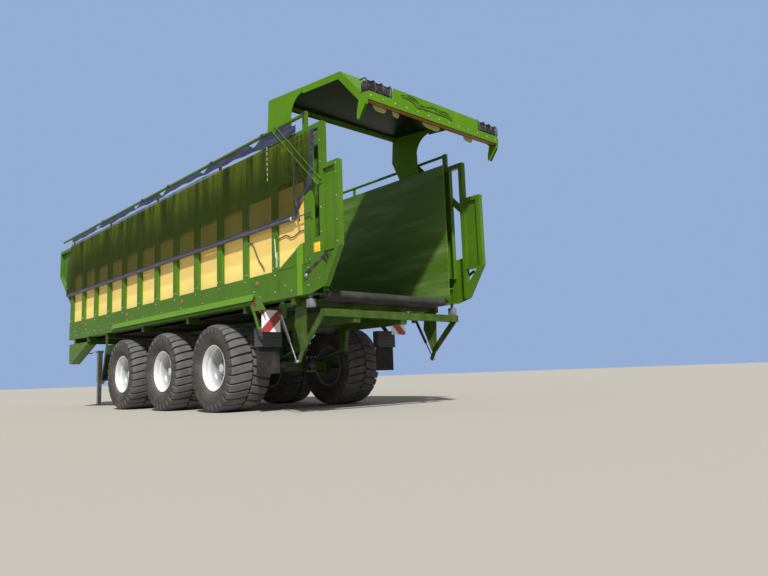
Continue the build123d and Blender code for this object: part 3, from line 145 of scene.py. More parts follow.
class Finish(Tree):
    """A material that is built from expressions and ends in one Principled shader."""

    def __init__(self, name, **constants):
        self.material = bpy.data.materials.new(name)
        super().__init__(self.material)
        self.shader = self.node("ShaderNodeBsdfPrincipled")
        self.set(**constants)
        self.node("ShaderNodeOutputMaterial", {}, {"Surface": Value(self, self.shader.outputs[0])})

    def set(self, **inputs):
        """Feeds the shader's inputs, written with _ for a space."""
        for key, value in inputs.items():
            self.feed(self.shader.inputs[key.replace("_", " ")], value)

    def coordinates(self, output):
        return self.value("ShaderNodeTexCoord", output=output)

    def split(self, output):
        made = self.node("ShaderNodeSeparateXYZ", {}, {0: self.coordinates(output)})
        return tuple(Value(self, socket) for socket in made.outputs)

    def along(self):
        """The x, y and z of the place on the piece."""
        return self.split("Object")

    def normal(self):
        """The x, y and z of the surface's direction."""
        return self.split("Normal")

    def noise(self, scale, detail, stretch=(1.0, 1.0, 1.0)):
        settings = {"operation": "MULTIPLY"}
        place = self.value("ShaderNodeVectorMath", settings, {0: self.coordinates("Object"), 1: stretch})
        inputs = {"Vector": place, "Scale": scale, "Detail": detail, "Roughness": 0.55}
        return self.value("ShaderNodeTexNoise", {}, inputs)

    def cells(self, scale):
        """Distance to the nearest of many scattered points."""
        inputs = {"Vector": self.coordinates("Object"), "Scale": scale}
        return self.value("ShaderNodeTexVoronoi", {}, inputs, "Distance")

    def wave(self, scale):
        inputs = {"Vector": self.coordinates("Object"), "Scale": scale}
        return self.value("ShaderNodeTexWave", {"bands_direction": "X"}, inputs, "Fac")

    def mix(self, factor, first, second):
        return self.value("ShaderNodeMix", {"data_type": "RGBA"}, {0: factor, 6: first, 7: second}, 2)

    def start(self, factor, first, second):
        """Starts the colour as a mix of two."""
        self.base = self.mix(factor, first, second)

    def tint(self, factor, colour):
        """Mixes one more colour in."""
        self.base = self.mix(factor, self.base, colour)

    def done(self, roughness, height, strength, distance, **others):
        """Sets what varies over the surface, and hands over the material."""
        inputs = {"Strength": strength, "Distance": distance, "Height": height}
        bump = self.value("ShaderNodeBump", {}, inputs)
        self.set(Base_Color=self.base, Roughness=roughness, Normal=bump, **others)
        return self.material


def shade(colour, factor):
    """A colour made lighter or darker."""
    return tuple(min(1.0, c * factor) for c in colour)


def painted(name, colour, dust_colour, dust=0.35, specks=0.0, painted_underside_shade=0.0, fold=None):
    """Satin paint with soft fading, rain streaks, dust where it can lie, scratches, and painted shade on faces that
    look down.

    The lower lip of the side channels has a painted highlight, and so has a strip that is bent towards the light.
    fold is its span along x.
    """
    matt = painted_underside_shade > 0.9
    finish = Finish(name, Specular_IOR_Level=0.1 if matt else 0.3, Coat_Weight=0.0 if matt else 0.08,
                    Coat_Roughness=0.25)
    x, y, z = finish.along()
    patches = finish.noise(1.1, 5.0)
    fine = finish.noise(38.0, 3.0)
    finish.start(patches.ramp(0.3, 0.75), shade(colour, 0.86), shade(colour, 1.1))
    finish.tint(finish.noise(5.0, 5.0, (3.2, 3.2, 0.35)).ramp(0.5, 0.78) * 0.3, shade(colour, 0.62))
    # Painted highlight on the strip that is bent towards the light
    if fold:
        finish.tint((x > fold[0]) * (x < fold[1]), shade(colour, 1.75))
    # Painted highlight on the lower lip of the side channels, where the sun catches it
    lip = (abs(y) > POST_FACE + 0.005) * (z > LIP_Z[0]) * (z < LIP_Z[1]) * (x > LIP_BACK_X)
    finish.tint(lip, shade(colour, 1.45))
    up = finish.normal()[2]
    dusty = up.ramp(0.3, 0.95) * 0.6 + (1 - z.ramp(0.8, 1.9)) * 0.3 + patches * 0.1
    dusty = dusty * finish.noise(7.0, 6.0).ramp(0.38, 0.68) * dust
    finish.tint(dusty, dust_colour)
    if specks:
        chips = ((0.13 - finish.cells(30.0)) * 40.0).ramp(0.0, 1.0)
        finish.tint(chips * finish.noise(2.3, 3.0).ramp(0.5, 0.62) * specks, (0.72, 0.60, 0.34))
    scratch = finish.noise(60.0, 2.0, (0.35, 1.0, 3.0)).ramp(0.72, 0.78)
    finish.tint(scratch * 0.25, shade(colour, 1.5))
    # Painted shade: faces that look down are darkened to near black, standing in for the shade beneath the body.
    if painted_underside_shade:
        finish.tint((0 - up).ramp(0.25, 0.85) * (1.0 + patches * 0.2) * painted_underside_shade, shade(colour, 0.05))
    return finish.done(0.34 + dusty * 0.4 + fine * 0.1, fine + scratch * 0.4, 0.12, 0.0008)


def panel_paint(name, colour, green):
    """Beige boards, stained near the floor, with a painted shadow of the cover over their upper part on the left, and
    a scuffed green lining inside.
    """
    finish = Finish(name, Coat_Weight=0.1, Coat_Roughness=0.3)
    x, y, z = finish.along()
    patches = finish.noise(0.9, 6.0)
    finish.start(patches.ramp(0.35, 0.7), shade(colour, 0.9), colour)
    finish.tint(finish.noise(4.0, 6.0, (4.0, 1.0, 0.25)).ramp(0.56, 0.8) * 0.25, (0.60, 0.38, 0.12))
    finish.tint((1 - z.ramp(1.96, 2.2)) * 0.22, (0.55, 0.44, 0.20))
    # Painted shadow of the side cover and its roll tube on the left wall's boards, above about 2.2 m
    finish.tint((z + patches * 0.06).ramp(2.20, 2.27) * (y > 0) * 0.38, (0.62, 0.33, 0.09))
    scuffed = finish.noise(3.0, 6.0, (0.3, 1.0, 2.5)).ramp(0.4, 0.75) * 0.45
    finish.tint(1 - abs(y).ramp(1.26, 1.30), finish.mix(scuffed, shade(green, 0.9), (0.24, 0.33, 0.13)))
    return finish.done(0.42 + patches * 0.16, finish.noise(22.0, 3.0), 0.1, 0.0008)


def mesh_cloth(name, colour, dust_colour):
    """Open-weave cover cloth: fine holes, faded folds, a little dust, and lime streaks below the top edge."""
    finish = Finish(name, Specular_IOR_Level=0.15)
    x, y, z = finish.along()
    threads = abs((x * THREADS_PER_METRE) % 1.0 - 0.5) + abs((z * THREADS_PER_METRE) % 1.0 - 0.5)
    folds = finish.noise(2.4, 4.0, (3.0, 1.0, 0.3))
    blotch = finish.noise(1.3, 5.0)
    finish.start(folds.ramp(0.35, 0.7), shade(colour, 0.85), shade(colour, 1.2))
    finish.tint(blotch.ramp(0.55, 0.85) * 0.08, dust_colour)
    finish.tint(z.ramp(3.15, 3.78) * folds.ramp(0.35, 0.62) * 0.75, (0.13, 0.16, 0.012))
    return finish.done(0.8, threads, 0.25, 0.001, Alpha=0.82 - threads.ramp(0.5, 0.85) * 0.52 + blotch * 0.06)


def band_cloth(name, colour):
    """Coated cloth of the cover's hems and folded top band."""
    finish = Finish(name)
    creases = finish.noise(6.0, 5.0, (0.6, 1.0, 3.0))
    finish.start(creases.ramp(0.35, 0.7), shade(colour, 0.7), shade(colour, 1.5))
    return finish.done(0.45, creases, 0.5, 0.006)


def tyre_rubber(name, colour, dust_colour):
    """Dusty rubber, mottled on the tread, browner and darker on the sidewalls."""
    finish = Finish(name, Specular_IOR_Level=0.35)
    film = finish.noise(5.0, 6.0)
    finish.start(film.ramp(0.3, 0.72) * 0.5 + 0.1, colour, dust_colour)
    finish.tint(finish.noise(26.0, 5.0).ramp(0.5, 0.75) * 0.25, shade(dust_colour, 1.15))
    walls = finish.mix(film.ramp(0.4, 0.8), (0.044, 0.036, 0.031), (0.080, 0.066, 0.056))
    finish.tint(abs(finish.normal()[1]).ramp(0.6, 0.92) * 0.85, walls)
    return finish.done(0.78 + film * 0.15, finish.noise(60.0, 4.0) + film * 0.6, 0.3, 0.0016)


def silver_paint(name, colour):
    """Silver wheel paint with a dusty film, spots of dirt, and painted shade deep inside the dish."""
    finish = Finish(name, Metallic=0.25, Coat_Weight=0.15, Coat_Roughness=0.25)
    film = finish.noise(6.0, 5.0)
    finish.start(film.ramp(0.45, 0.85) * 0.18, colour, (0.52, 0.46, 0.36))
    finish.tint(finish.noise(30.0, 4.0).ramp(0.58, 0.75) * 0.22, (0.34, 0.29, 0.22))
    # Painted shade: darker towards the inboard side, deep inside the dish
    finish.tint((1 - abs(finish.along()[1]).ramp(1.195, 1.33)) * 0.8, (0.11, 0.11, 0.115))
    return finish.done(0.3 + film * 0.22, film, 0.06, 0.001)


def belt_rubber(name, colour, ribs):
    """Matt rubber, ribbed across. ribs is their number in a metre."""
    finish = Finish(name, Specular_IOR_Level=0.3)
    film = finish.noise(4.0, 6.0)
    finish.start(film.ramp(0.4, 0.8) * 0.35, colour, (0.16, 0.14, 0.11))
    height = finish.noise(50.0, 3.0) * 0.3 + abs((finish.along()[0] * ribs) % 1.0 - 0.5)
    return finish.done(0.7 + film * 0.2, height, 0.35, 0.002)


def flap_and_box(name, rubber, box, box_z):
    """Black rubber flap below box_z, and above it the grey box with ribs that run across, with painted shade in the
    grooves between them.
    """
    finish = Finish(name, Specular_IOR_Level=0.3)
    z = finish.along()[2]
    film = finish.noise(5.0, 6.0)
    above = z > box_z
    ribs = abs((z * 18.0) % 1.0 - 0.5) * 2.0
    # The dark lines between the ribs are painted shade in their grooves
    finish.start(above, rubber, finish.mix(ribs.ramp(0.0, 0.25), shade(box, 0.45), box))
    finish.tint(film.ramp(0.45, 0.8) * 0.3, (0.14, 0.125, 0.10))
    return finish.done(0.72 - above * 0.25 + film * 0.2, ribs.ramp(0.0, 0.3) * above + film * 0.2, 0.5, 0.006)


def bare_metal(name, colour, rough, grain=40.0, metallic=1.0):
    """Zinc-plated or bright steel with a cloudy film and light dirt."""
    finish = Finish(name, Metallic=metallic)
    cloud = finish.noise(9.0, 5.0)
    spangle = finish.cells(grain)
    finish.start(cloud.ramp(0.35, 0.7), shade(colour, 0.75), colour)
    finish.tint(finish.noise(16.0, 5.0).ramp(0.62, 0.8) * 0.5, (0.30, 0.25, 0.18))
    return finish.done(rough + cloud * 0.15 + spangle * 0.08, spangle, 0.08, 0.0006)


def moulded(name, colour, rough=0.5):
    """Moulded plastic or enamel with fine grain and a little dust."""
    finish = Finish(name)
    film = finish.noise(9.0, 5.0)
    finish.start(film.ramp(0.45, 0.8) * 0.35, colour, (0.30, 0.27, 0.22))
    return finish.done(rough + film * 0.2, finish.noise(120.0, 2.0), 0.15, 0.0005)


def lens(name, colour, facets=70.0):
    """Ribbed coloured lens."""
    finish = Finish(name, Coat_Weight=0.8, Coat_Roughness=0.05)
    ribs = finish.wave(facets)
    finish.start(ribs * 0.5, shade(colour, 0.7), shade(colour, 1.2))
    return finish.done(0.18 + ribs * 0.1, ribs, 0.4, 0.001)


def marker_stripes(name, white, red, green, back_x, low, high):
    """Reflective rear face with slanting stripes, mirrored left and right, on green brackets."""
    finish = Finish(name, Coat_Weight=0.4, Coat_Roughness=0.15)
    x, y, z = finish.along()
    across = (abs(y) - low[0]) / (high[0] - low[0])
    up = (z - low[1]) / (high[1] - low[1])
    stripe = ((across + up) * 0.877) % 1.0 > 0.5
    cells = finish.cells(170.0)
    face = finish.mix(cells.ramp(0.1, 0.6) * 0.12, finish.mix(stripe, white, red), shade(white, 0.6))
    finish.start((x < back_x) * (abs(y) < high[0] + 0.005), green, face)
    finish.tint(finish.noise(14.0, 5.0).ramp(0.6, 0.8) * 0.25, (0.55, 0.50, 0.40))
    return finish.done(0.3 + cells * 0.1, cells, 0.1, 0.0005)


FINISHES = {}


def make_finishes(colours):
    """Makes every finish in the panel's colours."""
    green, dust = tuple(colours.green), tuple(colours.dust)
    recipes = {
        "green": (painted, green, dust, 0.35, 0.25),
        # Painted shade: the underbody takes the body green at half its lightness, and its faces that look down are
        # darkened more
        "green_low": (painted, shade(green, 0.5), dust, 0.35, 0.3, 0.6),
        "frames": (painted, green, dust, 0.35, 0.25, 0.0, FOLD_X),
        # Painted highlight: the tailgate takes the body green made lighter, and full painted shade on faces that look
        # down
        "gate": (painted, shade(green, 1.4), dust, 0.2, 0.3, 1.0),
        "panel": (panel_paint, tuple(colours.boards), green),
        "lining": (painted, (0.20, 0.42, 0.13), dust, 0.8, 0.6),
        "cloth": (mesh_cloth, tuple(colours.cover), dust),
        "band": (band_cloth, tuple(colours.band)),
        "tube": (moulded, (0.075, 0.065, 0.095), 0.35),
        "tyre": (tyre_rubber, tuple(colours.tyre), tuple(colours.tyre_dust)),
        "rim": (silver_paint, tuple(colours.rim)),
        "belt": (belt_rubber, (0.035, 0.034, 0.032), 9.0),
        "flap": (flap_and_box, (0.018, 0.018, 0.018), (0.060, 0.064, 0.072), 0.945),
        "hose": (moulded, (0.014, 0.014, 0.015), 0.4),
        "pale": (painted, (0.38, 0.44, 0.16), dust, 0.5, 0.3),
        "rust": (moulded, (0.26, 0.11, 0.02), 0.6),
        "strap": (moulded, (0.020, 0.018, 0.008), 0.7),
        "sleeve": (moulded, (0.42, 0.46, 0.36), 0.55),
        "zinc": (bare_metal, (0.62, 0.62, 0.60), 0.35, 40.0, 0.85),
        "chrome": (bare_metal, (0.82, 0.82, 0.82), 0.08, 200.0),
        "black": (moulded, (0.022, 0.022, 0.024), 0.38),
        "enamel": (moulded, (0.03, 0.03, 0.032), 0.3),
        "grey": (moulded, (0.16, 0.17, 0.19), 0.45),
        "red": (lens, (0.24, 0.010, 0.008)),
        "dark_red": (lens, (0.022, 0.004, 0.004)),
        "dark_amber": (lens, (0.024, 0.011, 0.005)),
        "smoked": (lens, (0.030, 0.031, 0.035), 40.0),
        "amber": (lens, (0.36, 0.13, 0.03)),
        "white": (lens, (0.82, 0.84, 0.86), 40.0),
        "plate": (moulded, (0.95, 0.55, 0.03), 0.35),
        "marker": (marker_stripes, (0.86, 0.86, 0.86), (0.36, 0.001, 0.010), green,
                   MARKER_BACK_X, *MARKER_FACE),
    }
    FINISHES.update({key: kind(key, *values) for key, (kind, *values) in recipes.items()})


# Which finish each node of the frame takes
NODE_FINISHES = {
    "green": ("side_frame_left", "side_frame_right", "cover_rails", "pivot_brackets", "front_bars",
              "front_lockers"),
    # These underbody parts take the darkened green of painted shade
    "green_low": ("axles", "chassis_frame", "drawbar", "suspension", "guard_brackets", "underrun_guard",
                  "floor_deck", "knuckle_front_left", "knuckle_front_right", "knuckle_rear_left",
                  "knuckle_rear_right", "tie_rod_front", "tie_rod_rear"),
    "frames": ("rear_frames",),
    "gate": ("tailgate_shell", "tailgate_beam", "push_wall_frame"),
    "panel": ("wall_panels",),
    "lining": ("push_wall_skin",),
    "belt": ("floor_belt",),
    "flap": ("mud_flaps",),
    "tube": ("cover_tube",),
    "zinc": ("tow_eye", "parking_jack", "belt_rollers"),
    "chrome": ("gate_ram_rods", "guard_ram_rods"),
    "enamel": ("gate_ram_barrels", "guard_ram_barrels"),
    "marker": ("marker_boards",),
}


def finish_of(key):
    """The finish of that name. All are made when the first is asked for."""
    if not FINISHES:
        make_finishes(colours())
    return FINISHES[key]


def add_object(name, data):
    """A new object in the scene."""
    made = bpy.data.objects.new(name, data)
    bpy.context.scene.collection.objects.link(made)
    return made


def piece(name, data, finish, body="chassis"):
    """A finished object that rides on a body of the frame."""
    made = add_object(name, data)
    data.materials.append(finish_of(finish))
    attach(made, body)
    return made


def solid(name, bm, finish, body="chassis", sharp=40.0):
    """A piece made of a bmesh."""
    return piece(name, to_mesh(name, bm, sharp), finish, body)


def to_mesh(name, bm, sharp=40.0):
    """Closes a bmesh into a mesh, smooth except over sharp edges."""
    bmesh.ops.recalc_face_normals(bm, faces=bm.faces)
    mesh = bpy.data.meshes.new(name)
    for face in bm.faces:
        face.smooth = True
    for edge in bm.edges:
        if len(edge.link_faces) == 2 and edge.calc_face_angle() > math.radians(sharp):
            edge.smooth = False
    bm.to_mesh(mesh)
    bm.free()
    return mesh


def add_block(bm, low, high, bevel=0.0, matrix=None):
    """Box between two corners, with rounded edges where asked."""
    low, high = Vector(low), Vector(high)
    place = (matrix or Matrix.Identity(4)) @ Matrix.Translation((low + high) / 2)
    made = bmesh.ops.create_cube(bm, size=1.0, matrix=place @ Matrix.Diagonal((*(high - low), 1.0)))
    if bevel:
        edges = list({edge for vert in made["verts"] for edge in vert.link_edges})
        bmesh.ops.bevel(bm, geom=edges, offset=bevel, segments=2, affect="EDGES", profile=0.5)


def add_pair(bm, low, high, bevel=0.0):
    """The same box on the left and on the right."""
    for side, hand in SIDES:
        near, far = sorted((hand * low[1], hand * high[1]))
        add_block(bm, (low[0], near, low[2]), (high[0], far, high[2]), bevel)


def skin(bm, rings, around=False):
    """Faces between closed rings of vertices. The ends are closed, or joined to each other with around."""
    for first, second in zip(rings, rings[1:] + rings[:1] if around else rings[1:]):
        for k, vert in enumerate(first):
            j = (k + 1) % len(first)
            bm.faces.new((vert, first[j], second[j], second[k]))
    if not around:
        bm.faces.new(rings[0][::-1])
        bm.faces.new(rings[-1])


def circle(steps, start=0.0):
    """Cosine and sine of evenly spaced angles, turned on by a share of a step."""
    angles = [2 * math.pi * (i + start) / steps for i in range(steps)]
    return [(math.cos(a), math.sin(a)) for a in angles]


def add_lathe(bm, profile, steps, matrix):
    """Turned shape about local Z from (radius, height) points, closed at both ends."""
    skin(bm, [[bm.verts.new(matrix @ Vector((radius * c, radius * s, height))) for c, s in circle(steps)]
              for radius, height in profile])


def facing(point, direction):
    """Matrix that puts local Z along a direction at a point."""
    turn = Vector(direction).to_track_quat("Z", "Y").to_matrix().to_4x4()
    return Matrix.Translation(Vector(point)) @ turn


def add_bolt(bm, point, direction, radius=0.011):
    """Hexagon head on a washer."""
    place = facing(point, direction)
    add_lathe(bm, [(radius * 1.5, 0.0), (radius * 1.5, radius * 0.25), (radius * 1.2, radius * 0.3)], 10, place)
    head = [(radius, radius * 0.3), (radius, radius * 0.95), (radius * 0.75, radius * 1.15)]
    add_lathe(bm, head, 6, place)


def add_pipe(bm, points, radius, sides=10):
    """Round bar or pipe through points, with mitred bends."""
    points = [Vector(p) for p in points]
    rings = []
    side = None
    for i, point in enumerate(points):
        before = (point - points[i - 1]).normalized() if i else None
        after = (points[i + 1] - point).normalized() if i + 1 < len(points) else None
        along = ((before or after) + (after or before)).normalized()
        if side is None:
            side = along.orthogonal().normalized()
        side = (side - along * side.dot(along)).normalized()
        other = along.cross(side)
        rings.append([bm.verts.new(point + (side * c + other * s) * radius) for c, s in circle(sides)])
    skin(bm, rings)


def bent(points, cuts=6):
    """Smooth curve through points, for pipes and hoses."""
    points = [Vector(p) for p in points]
    path = []
    padded = [points[0] * 2 - points[1], *points, points[-1] * 2 - points[-2]]
    for a, b, c, d in zip(padded, padded[1:], padded[2:], padded[3:]):
        for i in range(cuts):
            t = i / cuts
            step = (c - a) * t + (a * 2 - b * 5 + c * 4 - d) * t * t + (b * 3 - a - c * 3 + d) * t ** 3
            path.append(b + step / 2)
    path.append(points[-1])
    return path


TYRE_STEPS = 88
RIM_STEPS = 64
# How far a lug leans over its full lean, as a share of the pitch
LUG_LEAN = 0.55
# Half of the carcass's section, as (radius, distance from the centre line)
TYRE_PROFILE = (
    (0.337, 0.262), (0.352, 0.272), (0.372, 0.286), (0.385, 0.300), (0.420, 0.326), (0.470, 0.345), (0.520, 0.350),
    (0.565, 0.342), (0.595, 0.325), (0.615, 0.300), (0.630, 0.250), (0.636, 0.150), (0.638, 0.050),
)


# Sections of a lug: distance from the centre line, radius of its top, lean and half width as shares of the pitch
LUG_STATIONS = (
    (0.010, 0.678, 0.0, 0.38), (0.030, 0.680, 0.03, 0.42), (0.100, 0.680, 0.20, 0.44), (0.180, 0.678, 0.42, 0.445),
    (0.255, 0.672, 0.64, 0.445), (0.310, 0.660, 0.82, 0.44), (0.338, 0.640, 0.93, 0.42), (0.350, 0.600, 0.99, 0.35),
    (0.351, 0.560, 1.02, 0.25),
)


def tyre_mesh(lugs):
    """Carcass with rounded sidewalls and two rows of broad slanting lugs."""
    bm = bmesh.new()
    inner = ((0.334, -0.20), (0.334, 0.20))
    section = (*TYRE_PROFILE, *((r, -y) for r, y in reversed(TYRE_PROFILE)), *inner)
    skin(bm, [[bm.verts.new((r * c, y, r * s)) for r, y in section] for c, s in circle(TYRE_STEPS)],
         around=True)
    pitch = 2 * math.pi / lugs
    for row, start in ((1, 0.0), (-1, 0.5)):
        for i in range(lugs):
            add_lug(bm, pitch * (i + start), pitch, row)
    return to_mesh("tyre", bm, 28.0)


def add_lug(bm, start, pitch, row):
    """One lug from near the centre line out to the shoulder, leaning back along the way."""
    rows = []
    for y, top, lean, half in LUG_STATIONS:
        base = min(top - 0.006, 0.625 - 0.5 * max(0.0, y - 0.20))
        edges = ((0.93, top - 0.008), (0.84, top))
        loop = [(-half, base), *((-half * share, radius) for share, radius in edges), (0.0, top + 0.001),
                *((half * share, radius) for share, radius in reversed(edges)), (half, base)]
        angles = [(start + pitch * (offset + LUG_LEAN * lean), radius) for offset, radius in loop]
        rows.append([bm.verts.new((radius * math.cos(a), row * y, radius * math.sin(a))) for a, radius in angles])
    skin(bm, rows)


# Section of the rim from its inner edge over the outer one into the dish and back, as (radius, distance outwards)
RIM_PROFILE = (
    (0.330, -0.290), (0.357, -0.296), (0.357, -0.283), (0.334, -0.270), (0.334, 0.268), (0.350, 0.276),
    (0.357, 0.284), (0.358, 0.292), (0.352, 0.296), (0.343, 0.292), (0.338, 0.280), (0.326, 0.268), (0.320, 0.235),
    (0.318, 0.205), (0.300, 0.195), (0.296, 0.150), (0.290, 0.110), (0.276, 0.088), (0.245, 0.074), (0.190, 0.068),
    (0.175, 0.078), (0.160, 0.080), (0.106, 0.080), (0.160, 0.055), (0.240, 0.050), (0.300, 0.0), (0.318, -0.150),
    (0.322, -0.270),
)
HUB = ((0.112, -0.07), (0.112, 0.07), (0.104, 0.088), (0.100, 0.098), (0.072, 0.100), (0.070, 0.150), (0.064, 0.160),
       (0.040, 0.166))
WHEEL_NUT = ((0.020, 0.0), (0.020, 0.006), (0.0155, 0.008), (0.0155, 0.026), (0.012, 0.030), (0.009, 0.042))
DISC_HOLE = ((0.026, 0.0), (0.024, 0.003), (0.018, 0.004), (0.016, 0.001))
VALVE = ((0.006, 0.0), (0.006, 0.03), (0.004, 0.034))


def rim_mesh():
    """Deep-dished rim with its disc, hub drum, cap and wheel nuts, outwards along +Y."""
    bm = bmesh.new()
    outwards = facing((0, 0, 0), (0, 1, 0))
    skin(bm, [[bm.verts.new(outwards @ Vector((r * c, r * s, h))) for r, h in RIM_PROFILE]
              for c, s in circle(RIM_STEPS)], around=True)
    add_lathe(bm, HUB, 40, outwards)
    for x, z in circle(10, 0.5):
        add_lathe(bm, WHEEL_NUT, 8, facing((0.140 * x, 0.079, 0.140 * z), (0, 1, 0)))
    for x, z in circle(6, 0.25):
        add_lathe(bm, DISC_HOLE, 12, facing((0.218 * x, 0.0695, 0.218 * z), (0, 1, 0)))
    add_lathe(bm, VALVE, 8, facing((0.0, 0.215, 0.312), (0, 0.8, -0.6)))
    return to_mesh("rim", bm, 35.0)


def shown_length(name, description, default, low, high):
    """A length that can be chosen in the panel."""
    return bpy.props.FloatProperty(name=name, description=description, default=default, min=low, max=high,
                                   unit="LENGTH")


class TrailerSizes(bpy.types.PropertyGroup):
    lugs: bpy.props.IntProperty(
        name="Lugs in a row", description="Lugs round each half of a tyre's tread", default=30, min=12, max=36)
    bolt: shown_length("Bolt radius", "Radius of the small bolt heads on the body", 0.0085, 0.004, 0.03)
    bevel: shown_length("Edge rounding", "Rounding of the painted steel edges", 0.004, 0.0, 0.02)
    lens_length: bpy.props.FloatProperty(
        name="Lens length", description="Focal length of the camera", default=30.33, min=10.0, max=200.0)
    camera_place: bpy.props.FloatVectorProperty(
        name="Camera place", description="Where the camera stands", default=(-11.7505, 6.3234, 0.477),
        subtype="TRANSLATION", unit="LENGTH")


def shown_colour(name, description, default):
    """A colour that can be chosen in the panel."""
    return bpy.props.FloatVectorProperty(name=name, description=description, default=default, subtype="COLOR", size=3)


class TrailerColours(bpy.types.PropertyGroup):
    green: shown_colour("Green", "Paint of the body", (0.068, 0.165, 0.006))
    dust: shown_colour("Dust", "Dust that lies on the paint", (0.42, 0.34, 0.20))
    boards: shown_colour("Boards", "Paint of the wall's boards", (1.0, 0.78, 0.22))
    cover: shown_colour("Cover", "Open-weave side cover", (0.023, 0.032, 0.002))
    band: shown_colour("Band", "Hems and folded top band of the cover", (0.032, 0.036, 0.075))
    tyre: shown_colour("Tyre", "Rubber of the tyres", (0.078, 0.076, 0.073))
    tyre_dust: shown_colour("Tyre dust", "Dust on the tyres", (0.165, 0.158, 0.150))
    rim: shown_colour("Rims", "Silver paint of the rims", (0.70, 0.705, 0.71))


def sizes():
    return bpy.context.scene.trailer_sizes


def colours():
    return bpy.context.scene.trailer_colours


FLOOR_REACH = 400.0
# Colour and strength of the world as light and as seen by the camera
WORLD_TONES = (((0.82, 0.91, 1.0), 0.30), ((0.30, 0.42, 0.66), 1.0))
# Name, direction towards it, strength and spread in degrees of each sun
SUNS = (("key", (-0.60, 0.42, 0.68), 4.6, 3.0), ("fill", (-0.2, 0.95, 0.25), 0.45, 50.0))
CAMERA_RIGHT = (-0.6791, -0.7331, -0.0360)
CAMERA_UP = (-0.1223, 0.0647, 0.9904)


class TRAILER_OT_stage(bpy.types.Operator):
    """Plain pale floor, soft lights and the camera"""

    bl_idname = "trailer.stage"
    bl_label = "Stage"

    def execute(self, context):
        mesh = bpy.data.meshes.new("floor")
        corners = ((-1, -1), (1, -1), (1, 1), (-1, 1))
        mesh.from_pydata([(FLOOR_REACH * x, FLOOR_REACH * y, 0) for x, y in corners], [], [(0, 1, 2, 3)])
        floor = add_object("floor", mesh)
        ground = Finish("floor_plain", Base_Color=(0.47, 0.435, 0.375), Roughness=0.9, Specular_IOR_Level=0.1)
        mesh.materials.append(ground.material)

        world = bpy.data.worlds.new("studio")
        context.scene.world = world
        sky = Tree(world)
        seen = sky.value("ShaderNodeLightPath", output="Is Camera Ray")
        light, backdrop = (sky.value("ShaderNodeBackground", {}, {0: colour, 1: strength})
                           for colour, strength in WORLD_TONES)
        choice = sky.value("ShaderNodeMixShader", {}, {0: seen, 1: light, 2: backdrop})
        sky.node("ShaderNodeOutputWorld", {}, {0: choice})

        for name, towards, strength, spread in SUNS:
            lamp = bpy.data.lights.new(name, "SUN")
            lamp.energy = strength
            lamp.angle = math.radians(spread)
            add_object(name, lamp).rotation_euler = Vector(towards).to_track_quat("Z", "Y").to_euler()

        camera = bpy.data.cameras.new("camera")
        camera.lens = sizes().lens_length
        camera.sensor_width = 36.0
        camera.clip_end = 1000.0
        stand = add_object("camera", camera)
        right = Vector(CAMERA_RIGHT).normalized()
        back = right.cross(Vector(CAMERA_UP).normalized()).normalized()
        up = back.cross(right)
        turn = Matrix((right, up, back)).transposed().to_4x4()
        stand.matrix_world = Matrix.Translation(sizes().camera_place) @ turn
        context.scene.camera = stand
        context.scene.view_settings.view_transform = "Standard"
        return {"FINISHED"}


HOSE_RADIUS = 0.007
HOSE_SLEEVE = ((0.0085, 0.0), (0.0095, 0.002), (0.0095, 0.030), (0.0080, 0.034))
# Name, length and route of each hose
HOSES = (
    ("hose_low", 0.701, (
        (-3.6243, 1.400, 2.452), (-3.7097, 1.400, 2.452), (-3.7799, 1.401, 2.360), (-3.8501, 1.402, 2.230),
        (-3.9297, 1.402, 2.120), (-4.0347, 1.400, 2.030), (-4.0347, 1.400, 1.9403),
    )),
    ("hose_high", 0.654, (
        (-4.3973, 1.400, 2.390), (-4.4751, 1.400, 2.390), (-4.5902, 1.402, 2.415), (-4.6901, 1.403, 2.350),
        (-4.7900, 1.403, 2.350), (-4.8798, 1.402, 2.395), (-4.9551, 1.400, 2.400), (-5.0297, 1.400, 2.400),
    )),
)


class TRAILER_OT_hoses(bpy.types.Operator):
    """Hoses along the left wall with their end sleeves"""

    bl_idname = "trailer.hoses"
    bl_label = "Hoses"

    def execute(self, context):
        for name, length, points in HOSES:
            line = bpy.data.curves.new(name + "_line", "CURVE")
            line.dimensions = "3D"
            line.bevel_depth = HOSE_RADIUS
            line.bevel_resolution = 4
            line.use_fill_caps = True
            spline = line.splines.new("NURBS")
            spline.points.add(len(points) - 1)
            for spot, place in zip(spline.points, points):
                spot.co = (*place, 1.0)
            spline.order_u = 3
            spline.use_endpoint_u = True
            spline.resolution_u = 12
            ends = bmesh.new()
            for end, near in ((points[0], points[1]), (points[-1], points[-2])):
                add_lathe(ends, HOSE_SLEEVE, 14, facing(end, Vector(near) - Vector(end)))
            sleeves = solid(name + "_sleeves", ends, "zinc")
            hose = piece(name + "_cord", line, "hose")
            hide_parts(name)
        return {"FINISHED"}


# Finishes of bent and welded sheet, whose edges are rounded
ROUNDED = ("green", "green_low", "frames", "gate", "panel")


class TRAILER_OT_finishes(bpy.types.Operator):
    """Finishes of the frame's own steel, boards, belt and rams"""

    bl_idname = "trailer.finishes"
    bl_label = "Finishes"

    def execute(self, context):
        for key, names in NODE_FINISHES.items():
            for name in names:
                node = NODES[name]
                node.data.materials.clear()
                node.data.materials.append(finish_of(key))
                if key in ROUNDED and sizes().bevel:
                    rounding = node.modifiers.new("rounding", "BEVEL")
                    rounding.width = sizes().bevel * (0.5 if key == "panel" else 1.0)
                    rounding.segments = 2
                    rounding.limit_method = "ANGLE"
                    rounding.angle_limit = math.radians(50)
                    rounding.harden_normals = True
        return {"FINISHED"}


